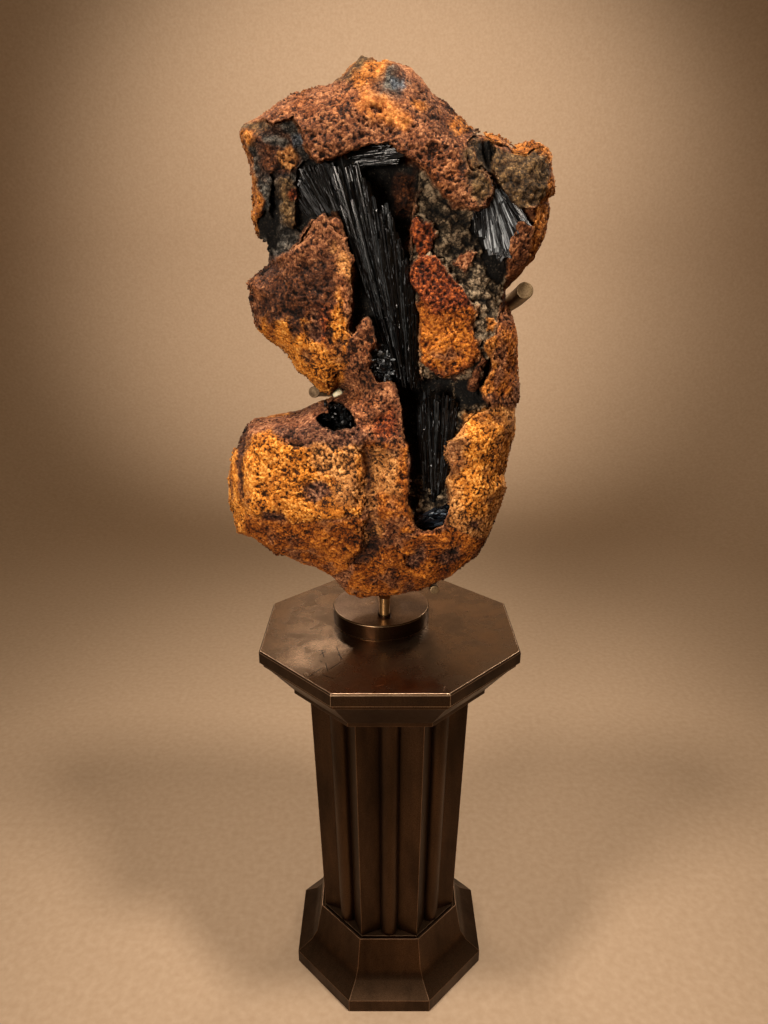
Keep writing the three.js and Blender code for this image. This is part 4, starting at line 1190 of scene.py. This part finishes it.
stand = {
    "discPlace": (-17, 35),
    "disc": [(97.6, 813), (98.5, 814), (98.5, 843.2), (96.6, 845.5)],  # (radius, height)
    "postPlace": (-10, -18),
    "post": [(11, 845.5), (11, 873.2), (10.4, 874)],
    "collar": [(11.3, 845.5), (13.5, 845.5), (13.5, 849.3), (12.4, 850.5), (11.3, 850.5)],
    "cradle": ((-27, 14, 874), (7, 122, 886)),  # lowest and highest corner
    "cradleNose": 11,  # radius of its front end, over the post
    "spine": ((-27, 122, 874), (7, 134, 1440)),
    "spineBolts": (905, 1240, 1284, 1378, 1422),
    "arms": {  # radius, and places along the middle
        "left_arm": (10.4, [(-27.3, 128, 1262), (-60, 128, 1262), (-112, 96, 1274), (-132, 44, 1284),
                            (-138, -6, 1291)]),
        "right_arm": (15, [(7.3, 128, 1400), (110, 128, 1400), (196, 112, 1424), (226, 58, 1448),
                           (235, -4, 1468)]),
        "lower_arm": (9, [(7.3, 128, 893), (36, 128, 893), (80, 80, 886), (90, -6, 895)]),
    },
    # how a rod closes, as (back from its end, in from its side)
    "armTip": [(1.4, 0), (0.4, 0.35), (0, 1.4), (0, 3.4), (0.5, 3.9), (0.5, 4.9), (0, 5.4)],
    "padTip": [(6, 0), (3.6, 0.8), (1.6, 2.4), (0.4, 4.8), (0, 7)],
    "rodChamfer": 0.6,
    "pad": (9.8, [(-95, 14, 1287), (-95, 3, 1287), (-95, -8, 1287)]),
    "boltHead": [(-0.5, 5.6), (0.9, 5.6), (1.6, 4.9), (1.6, 3.0), (0.4, 2.7)],  # (out of the bar, radius)
    "roundSides": {"disc": 96, "collar": 48, "post": 48, "arm": 32, "bolt": 24},
    "looks": {
        # name, dark and light colour, roughness, size of the patches in mm
        # turned and satin finished: a pale disc with a soft sweep of light round it
        "satin": ("bronze, turned and satin finished", "#86705f", "#9c8672", 0.3, 45),
        # waxed dark: a narrow gleam down the side
        "side": ("bronze, turned, dark waxed side", "#2c1e13", "#3f2c1d", 0.38, 35),
        # a bright turned rim: a thin light line
        "rubbed": ("bronze, bright turned rim", "#8b7358", "#a98f70", 0.3, 30),
        # bent and waxed: a long soft gleam along the rod
        "rod": ("bronze rod, bent and waxed", "#7a6850", "#93805f", 0.36, 22),
        # drawn and lacquered: warmer and cleaner than the rest
        "brass": ("brass rod, drawn and lacquered", "#9c7e54", "#b59466", 0.38, 22),
        # faced ends: flat and matt, painted lighter than the rod as highlight; the left arm's end painted
        # darker as shade
        "faced": ("brass rod end, faced and matt", "#8f7a5e", "#a8926f", 0.45, 12),
        "shadedEnd": ("brass rod end, faced, painted shade", "#4a3d2f", "#5d4e3c", 0.6, 12),
    },
    "drawnStreak": 6.0,  # how far a rod's patches are drawn out along it
    "latheRing": 0.9,  # spacing of the lathe marks on the disc
    "silicone": ("#bdb192", "#d2c7a8"),
}


def skin(rings, closed=False):
    # faces through rings of equal length; the ends are capped, or joined to each other
    count, levels = len(rings[0]), len(rings)
    faces = []
    for level in range(levels if closed else levels - 1):
        a, b = level * count, (level + 1) % levels * count
        faces += [(a + i, a + (i + 1) % count, b + (i + 1) % count, b + i) for i in range(count)]
    if not closed:
        faces += [tuple(reversed(range(count))), tuple((levels - 1) * count + i for i in range(count))]
    return np.concatenate(rings), faces


def turnedRings(profile, sides, place=(0, 0)):
    # rings of a profile of (reach, height); eight sides are measured across flats, any other
    # number by radius
    turn = (np.arange(sides) + 0.5) * 2 * math.pi / sides
    rings = []
    for reach, height in profile:
        radius = reach / 2 / math.cos(math.pi / 8) if sides == 8 else reach
        rings.append(np.stack([place[0] + radius * np.cos(turn), place[1] + radius * np.sin(turn),
                               np.full(sides, float(height))], axis=1))
    return rings


def shaftRing(share):
    # the shaft's section at a share of its height: eight arrises, with a reed on each face
    flats = np.interp(share, (0, 1), pedestal["shaftFlats"])
    scale = flats / pedestal["shaftFlats"][1]
    reed, valley = pedestal["reed"] * scale, pedestal["valley"] * scale
    turn = np.linspace(0, math.pi, pedestal["reedSteps"])
    across = np.concatenate([[-flats / 2 * math.tan(math.pi / 8)], -reed * np.cos(turn)])
    out = np.concatenate([[flats / 2], flats / 2 - valley + valley * np.sin(turn)])
    height = np.interp(share, (0, 1), pedestal["shaftHeights"])
    ring = []
    for side in range(8):
        cos, sin = math.cos(side * math.pi / 4), math.sin(side * math.pi / 4)
        ring.append(np.stack([out * cos - across * sin, out * sin + across * cos,
                              np.full(len(out), height)], axis=1))
    return np.concatenate(ring)


def standPiece(name, shape, materials, node, edge=0.0, sharp=30):
    # bevels the arrises by edge; the second material is the rubbed metal on them, and faces that
    # meet at less than sharp degrees shade as one
    points, faces = shape
    piece = meshPiece(name, points * mm, faces, materials[0])
    piece.data.materials.append(materials[-1])
    work = bmesh.new()
    work.from_mesh(piece.data)
    if edge:
        arrises = [line for line in work.edges if line.calc_face_angle_signed(0) > math.radians(25)]
        bmesh.ops.bevel(work, geom=arrises, offset=edge * mm, segments=2, profile=0.6, affect="EDGES",
                        material=1, clamp_overlap=True)
    work.to_mesh(piece.data)
    work.free()
    piece.data.polygons.foreach_set("use_smooth", [True] * len(piece.data.polygons))
    piece.data.set_sharp_from_angle(angle=math.radians(sharp))
    weighted = piece.modifiers.new("weighted normals", "WEIGHTED_NORMAL")
    weighted.keep_sharp = True
    settle(piece)
    return standIn(piece, node)


def smoothLine(points, count):
    # evenly spaced places on the smooth curve through some points, which may lie unevenly
    knots = np.asarray(points, float)
    knots = np.vstack([2 * knots[0] - knots[1], knots, 2 * knots[-1] - knots[-2]])
    line = []
    for i in range(len(knots) - 3):
        a, b, c, d = knots[i:i + 4]
        before, here, after = (np.linalg.norm(q - p) ** 0.5 for p, q in ((a, b), (b, c), (c, d)))
        leave = c - b + here * ((b - a) / before - (c - a) / (before + here))
        arrive = c - b + here * ((d - c) / after - (d - b) / (here + after))
        t = np.linspace(0, 1, 20, endpoint=False)[:, None]
        bend = (3 * c - 3 * b - 2 * leave - arrive) * t ** 2
        line.append((2 * b - 2 * c + leave + arrive) * t ** 3 + bend + leave * t + b)
    line = np.vstack(line + [knots[-2:-1]])
    return np.array([onLine(line, share) for share in np.linspace(0, 1, count)])


def rodRings(radius, points, tip, count=36):
    # rings along a bent rod; tip is how its far end closes
    sides, chamfer = stand["roundSides"]["arm"], stand["rodChamfer"]
    line = smoothLine(points, count)
    heading = np.gradient(line, axis=0)
    heading /= np.linalg.norm(heading, axis=1)[:, None]
    side = np.cross(heading[0], (0, 0.3, 1.0))  # any way that isn't along the rod
    turn = np.arange(sides) * 2 * math.pi / sides
    rings = []

    def addRing(centre, way, reach):
        across = side - way * (side @ way)
        across /= np.linalg.norm(across)
        up = np.cross(way, across)
        rings.append(centre + reach * (np.cos(turn)[:, None] * across + np.sin(turn)[:, None] * up))

    addRing(line[0], heading[0], radius - chamfer)
    addRing(line[0] + chamfer * heading[0], heading[0], radius)
    # the rings between leave room for the chamfer and the tip
    for centre, way in zip(line[1:-1], heading[1:-1]):
        if np.linalg.norm(line[-1] - centre) > tip[0][0] + 1 and np.linalg.norm(line[0] - centre) > 1.5:
            addRing(centre, way, radius)
    for back, inward in tip:
        addRing(line[-1] - back * heading[-1], heading[-1], radius - inward)
    return rings


def barShape(low, high, bolts=(), nose=0):
    # a flat bar, drawn in to a round nose where one is wanted, with low bolt heads on its back
    x, y, z = zip(low, high)
    front = [(x[0], y[0]), (x[1], y[0])]
    if nose:
        middleX, middleY = stand["postPlace"]
        turn = np.linspace(math.pi, 2 * math.pi, 25)
        front[1:1] = [(middleX + nose * math.cos(a), middleY + nose * math.sin(a)) for a in turn]
    outline = front + [(x[1], y[1]), (x[0], y[1])]
    points, faces = skin([np.array([(px, py, level) for px, py in outline], float) for level in z])
    sides = stand["roundSides"]["bolt"]
    turn = -np.arange(sides) * 2 * math.pi / sides
    for height in bolts:
        rings = []
        for out, reach in stand["boltHead"]:
            rings.append(np.stack([sum(x) / 2 + reach * np.cos(turn), np.full(sides, y[1] + out),
                                   height + reach * np.sin(turn)], axis=1))
        morePoints, moreFaces = skin(rings)
        faces += [tuple(len(points) + i for i in face) for face in moreFaces]
        points = np.vstack([points, morePoints])
    return points, faces


def bronzeMaterial(name, dark, light, roughness, patch, streak=0.0, rings=None, scratches=()):
    # metal under a brown patina: cloudy patches of two browns, fine pores that break the gloss;
    # streak draws the clouds out along z, rings are lathe marks round a middle
    material = newMaterial(name)
    place = addNode(material, "TexCoord").outputs["Object"]
    patchSize, poreSize = patch * mm, 1.6 * mm
    scale = (1 / patchSize, 1 / patchSize, 1 / (patchSize * (1 + streak)))
    drawn = addNode(material, "Mapping", {"Scale": scale}, {"Vector": place}).outputs[0]
    clouds = addNode(material, "TexNoise", {"Scale": 1.0, "Detail": 5.0, "Roughness": 0.62},
                     {"Vector": drawn}).outputs[0]
    pores = addNode(material, "TexNoise", {"Scale": 1 / poreSize, "Detail": 3.0, "Roughness": 0.6},
                    {"Vector": place}).outputs[0]
    colour = addNode(material, "ValToRGB", {"ramp": [(0.36, dark), (0.64, light)]},
                     {"Fac": clouds}).outputs[0]
    speckle = addNode(material, "ValToRGB", {"ramp": [(0.3, "#b5aca4"), (0.6, "#ffffff")]},
                      {"Fac": pores}).outputs[0]
    colour = addNode(material, "Mix", multiplying, {6: colour, 7: speckle}).outputs[2]
    rough = addNode(material, "MapRange", {"From Min": 0.3, "From Max": 0.7, "To Min": roughness + 0.1,
                                           "To Max": roughness - 0.06}, {"Value": clouds}).outputs[0]
    height = pores
    if rings:
        ringScale = 1 / (stand["latheRing"] * mm)
        centred = addNode(material, "VectorMath", {"operation": "MULTIPLY_ADD", 1: (1, 1, 0), 2: rings},
                          {0: place}).outputs[0]
        reach = addNode(material, "VectorMath", {"operation": "LENGTH"}, {0: centred}).outputs["Value"]
        height = addNode(material, "TexNoise", {"noise_dimensions": "1D", "Scale": ringScale,
                                                "Detail": 2.0}, {"W": reach}).outputs[0]
    for x, y, angle, length, tint in scratches:
        # a scratch is a thin line cut through the patina; its place, turn and length in mm and degrees
        size = (length * mm, pedestal["scratchWidth"] * mm, 1)
        across = addNode(material, "Mapping", {
            "vector_type": "TEXTURE", "Location": (x * mm, y * mm, 0),
            "Rotation": (0, 0, math.radians(angle)), "Scale": size}, {0: place}).outputs[0]
        across = addNode(material, "VectorMath", {"operation": "ABSOLUTE"}, {0: across}).outputs[0]
        sides = addNode(material, "SeparateXYZ", {}, {0: across}).outputs
        away = addNode(material, "Math", {"operation": "MAXIMUM"}, {0: sides[0], 1: sides[1]}).outputs[0]
        cut = addNode(material, "MapRange", {"From Min": 0.5, "From Max": 0.3, "To Max": 0.9},
                      {"Value": away}).outputs[0]
        colour = addNode(material, "Mix", {**mixing, 7: tint}, {0: cut, 6: colour}).outputs[2]
    bump = addNode(material, "Bump", {"Strength": 0.25, "Distance": 0.2 * mm}, {"Height": height})
    shader = addNode(material, "BsdfPrincipled", {"Metallic": 1.0},
                     {"Base Color": colour, "Roughness": rough, "Normal": bump.outputs[0]})
    addNode(material, "OutputMaterial", {}, {"Surface": shader.outputs[0]})
    return material


def siliconeMaterial():
    # soft cream silicone sleeve, moulded: dull, slightly waxy, light passes a little way in
    material = newMaterial("silicone sleeve, cream")
    place = addNode(material, "TexCoord").outputs["Object"]
    dustSize = 4 * mm
    dust = addNode(material, "TexNoise", {"Scale": 1 / dustSize, "Detail": 3.0},
                   {"Vector": place}).outputs[0]
    dark, light = stand["silicone"]
    colour = addNode(material, "ValToRGB", {"ramp": [(0.3, dark), (0.7, light)]}, {"Fac": dust}).outputs[0]
    bump = addNode(material, "Bump", {"Strength": 0.2, "Distance": 0.3 * mm}, {"Height": dust})
    shader = addNode(material, "BsdfPrincipled", {"IOR": 1.41, "Roughness": 0.45, "Subsurface Weight": 0.2,
                                                  "Subsurface Scale": 4 * mm},
                     {"Base Color": colour, "Normal": bump.outputs[0]})
    addNode(material, "OutputMaterial", {}, {"Surface": shader.outputs[0]})
    return material


def finishTop(piece, material):
    # gives the broad level top of a piece its own finish
    piece.data.materials.append(material)
    for face in piece.data.polygons:
        if face.normal.z > 0.99 and face.area > 0.01:
            face.material_index = 2


def makePedestal():
    looks, edge = pedestal["looks"], pedestal["wornEdge"]
    cast = bronzeMaterial(*looks["cast"], streak=pedestal["castStreak"])
    rubbed = bronzeMaterial(*looks["rubbed"])
    polished = bronzeMaterial(*looks["polished"], scratches=pedestal["scratches"])
    bright = bronzeMaterial(*looks["bright"])
    standPiece("pedestal_base_worn", skin(turnedRings(pedestal["base"], 8)), (cast, rubbed),
               "pedestal_base", edge)
    standPiece("pedestal_shaft_reeded", skin([shaftRing(0), shaftRing(1)]), (cast, rubbed),
               "pedestal_shaft", edge)
    standPiece("pedestal_cap_worn", skin(turnedRings(pedestal["cap"], 8)), (cast, rubbed),
               "pedestal_cap", edge * 0.7)
    slab = standPiece("pedestal_slab_waxed", skin(turnedRings(pedestal["slab"], 8)), (cast, bright),
                      "pedestal_top", edge * 0.6)
    finishTop(slab, polished)


def makeStand():
    looks, sides, streak = stand["looks"], stand["roundSides"], stand["drawnStreak"]
    discX, discY = stand["discPlace"]
    satin = bronzeMaterial(*looks["satin"], rings=(-discX * mm, -discY * mm, 0))
    side = bronzeMaterial(*looks["side"])
    rubbed = bronzeMaterial(*looks["rubbed"])
    rod = bronzeMaterial(*looks["rod"], streak=streak)
    brass = bronzeMaterial(*looks["brass"], streak=streak)
    faced = bronzeMaterial(*looks["faced"])
    shadedEnd = bronzeMaterial(*looks["shadedEnd"])
    disc = skin(turnedRings(stand["disc"], sides["disc"], stand["discPlace"]))
    disc = standPiece("stand_disc_turned", disc, (side, rubbed), "stand_disc", 0.5)
    finishTop(disc, satin)
    collar = skin(turnedRings(stand["collar"], sides["collar"], stand["postPlace"]), True)
    standPiece("stand_collar_turned", collar, (side, rubbed), "stand_collar")
    post = skin(turnedRings(stand["post"], sides["post"], stand["postPlace"]))
    standPiece("stand_post_drawn", post, (brass, rubbed), "stand_post")
    standPiece("stand_cradle_bar", barShape(*stand["cradle"], (), stand["cradleNose"]), (brass, rubbed),
               "stand_cradle", 0.8)
    standPiece("stand_spine_bar", barShape(*stand["spine"], stand["spineBolts"]), (side, rubbed),
               "stand_spine", 0.9)
    for name, (radius, points) in stand["arms"].items():
        bar = side if name == "lower_arm" else rod
        # the faced ends carry painted highlight, the left arm's end painted shade
        end = shadedEnd if name == "left_arm" else faced
        arm = standPiece(name + "_bent", skin(rodRings(radius, points, stand["armTip"])), (bar, end),
                         name)
        # the end that shows at the front is faced
        way = (Vector(points[-1]) - Vector(points[-2])).normalized()
        for face in arm.data.polygons:
            if face.normal.dot(way) > 0.6 and face.center.y < 0.02:
                face.material_index = 1
    radius, points = stand["pad"]
    standPiece("left_pad_sleeve", skin(rodRings(radius, points, stand["padTip"], count=6)),
               (siliconeMaterial(),), "left_pad", sharp=60)


makePedestal()
print("pedestal: base, shaft, cap and slab")
makeStand()
print("stand: disc, collar, post, cradle, spine, three arms and a pad")


# studio: a pale bowl with no corners, and soft lamps above

studio = {
    "floorRadius": 3.0,  # metres
    "bend": 1.6,  # radius of the sweep up into the wall
    "wallTop": 4.8,
    "sides": 128,
    "plaster": ("#a88f74", "#b29a80"),
    "plasterGrain": 50 / 3,  # mm
    "lamps": {  # place, target, cone in degrees, power, softness
        "keyLeft": ((-0.75, -0.66, 3.6), (0, 0, 1.1), 64, 285, 0.2),
        "keyRight": ((0.75, -0.62, 3.6), (0, 0, 1.1), 64, 330, 0.2),
        "slabGleam": ((-0.4, 2.6, 2.62), (-0.1, -0.18, 0.81), 26, 8, 0.16),
        "front": ((-1.0, -2.3, 1.5), (-0.06, 0, 1.2), 42, 355, 0.35),
        "wall": ((0.0, 0.3, 4.6), (0, 4.5, 1.7), 62, 1220, 0.3),
        "rearLeft": ((-1.7, 2.1, 2.7), (0, 0, 1.3), 50, 150, 0.4),
        "rearRight": ((1.7, 2.1, 2.7), (0, 0, 1.3), 50, 150, 0.4),
    },
    "lampColour": "#fff0e0",
    "airColour": "#e2d2ba",
    "airStrength": 0.58,
}


def makeBowl():
    # matt limewashed plaster, so faintly clouded that it reads as plain
    material = newMaterial("plaster, matt, pale")
    place = addNode(material, "TexCoord").outputs["Object"]
    scale = 1 / (studio["plasterGrain"] * mm)
    grain = addNode(material, "TexNoise", {"Scale": scale, "Detail": 4.0}, {"Vector": place}).outputs[0]
    dark, light = studio["plaster"]
    colour = addNode(material, "ValToRGB", {"ramp": [(0.3, dark), (0.7, light)]}, {"Fac": grain}).outputs[0]
    shader = addNode(material, "BsdfPrincipled", {"Roughness": 0.85}, {"Base Color": colour})
    addNode(material, "OutputMaterial", {}, {"Surface": shader.outputs[0]})
    floor, bend = studio["floorRadius"], studio["bend"]
    turn = np.linspace(0, math.pi / 2, 14)
    reach = np.append(floor + bend * np.sin(turn), floor + bend)
    height = np.append(bend * (1 - np.cos(turn)), studio["wallTop"])
    points, faces = skin(turnedRings(list(zip(reach, height)), studio["sides"]))
    meshPiece("studio_bowl", points, faces[:-1], material)  # open at the top


def addLamp(name, place, target, cone, power, softness):
    data = bpy.data.lights.new(name, "SPOT")
    data.energy = power
    data.color = linear(studio["lampColour"])[:3]
    data.spot_size = math.radians(cone)
    data.spot_blend = 1.0
    data.shadow_soft_size = softness
    lamp = bpy.data.objects.new(name, data)
    lamp.location = place
    lamp.rotation_euler = (Vector(target) - Vector(place)).to_track_quat("-Z", "Y").to_euler()
    lamp.visible_camera = False
    bpy.context.scene.collection.objects.link(lamp)


def lightAndCamera():
    world = bpy.data.worlds.new("studio air")
    world.use_nodes = True
    air = world.node_tree.nodes["Background"]
    air.inputs["Color"].default_value = linear(studio["airColour"])
    air.inputs["Strength"].default_value = studio["airStrength"]
    bpy.context.scene.world = world
    for name, values in studio["lamps"].items():
        addLamp(name, *values)
    bpy.context.scene.view_settings.view_transform = "Standard"
    data = bpy.data.cameras.new("camera")
    data.sensor_fit = "VERTICAL"
    data.sensor_height = 36.0
    data.lens = viewer["lens"]
    camera = bpy.data.objects.new("camera", data)
    camera.location = [c * mm for c in viewer["eye"]]
    camera.rotation_euler = (math.radians(90 - viewer["lookDown"]), 0, 0)
    bpy.context.scene.collection.objects.link(camera)
    bpy.context.scene.camera = camera


makeBowl()
lightAndCamera()
print("studio bowl, lamps and camera")
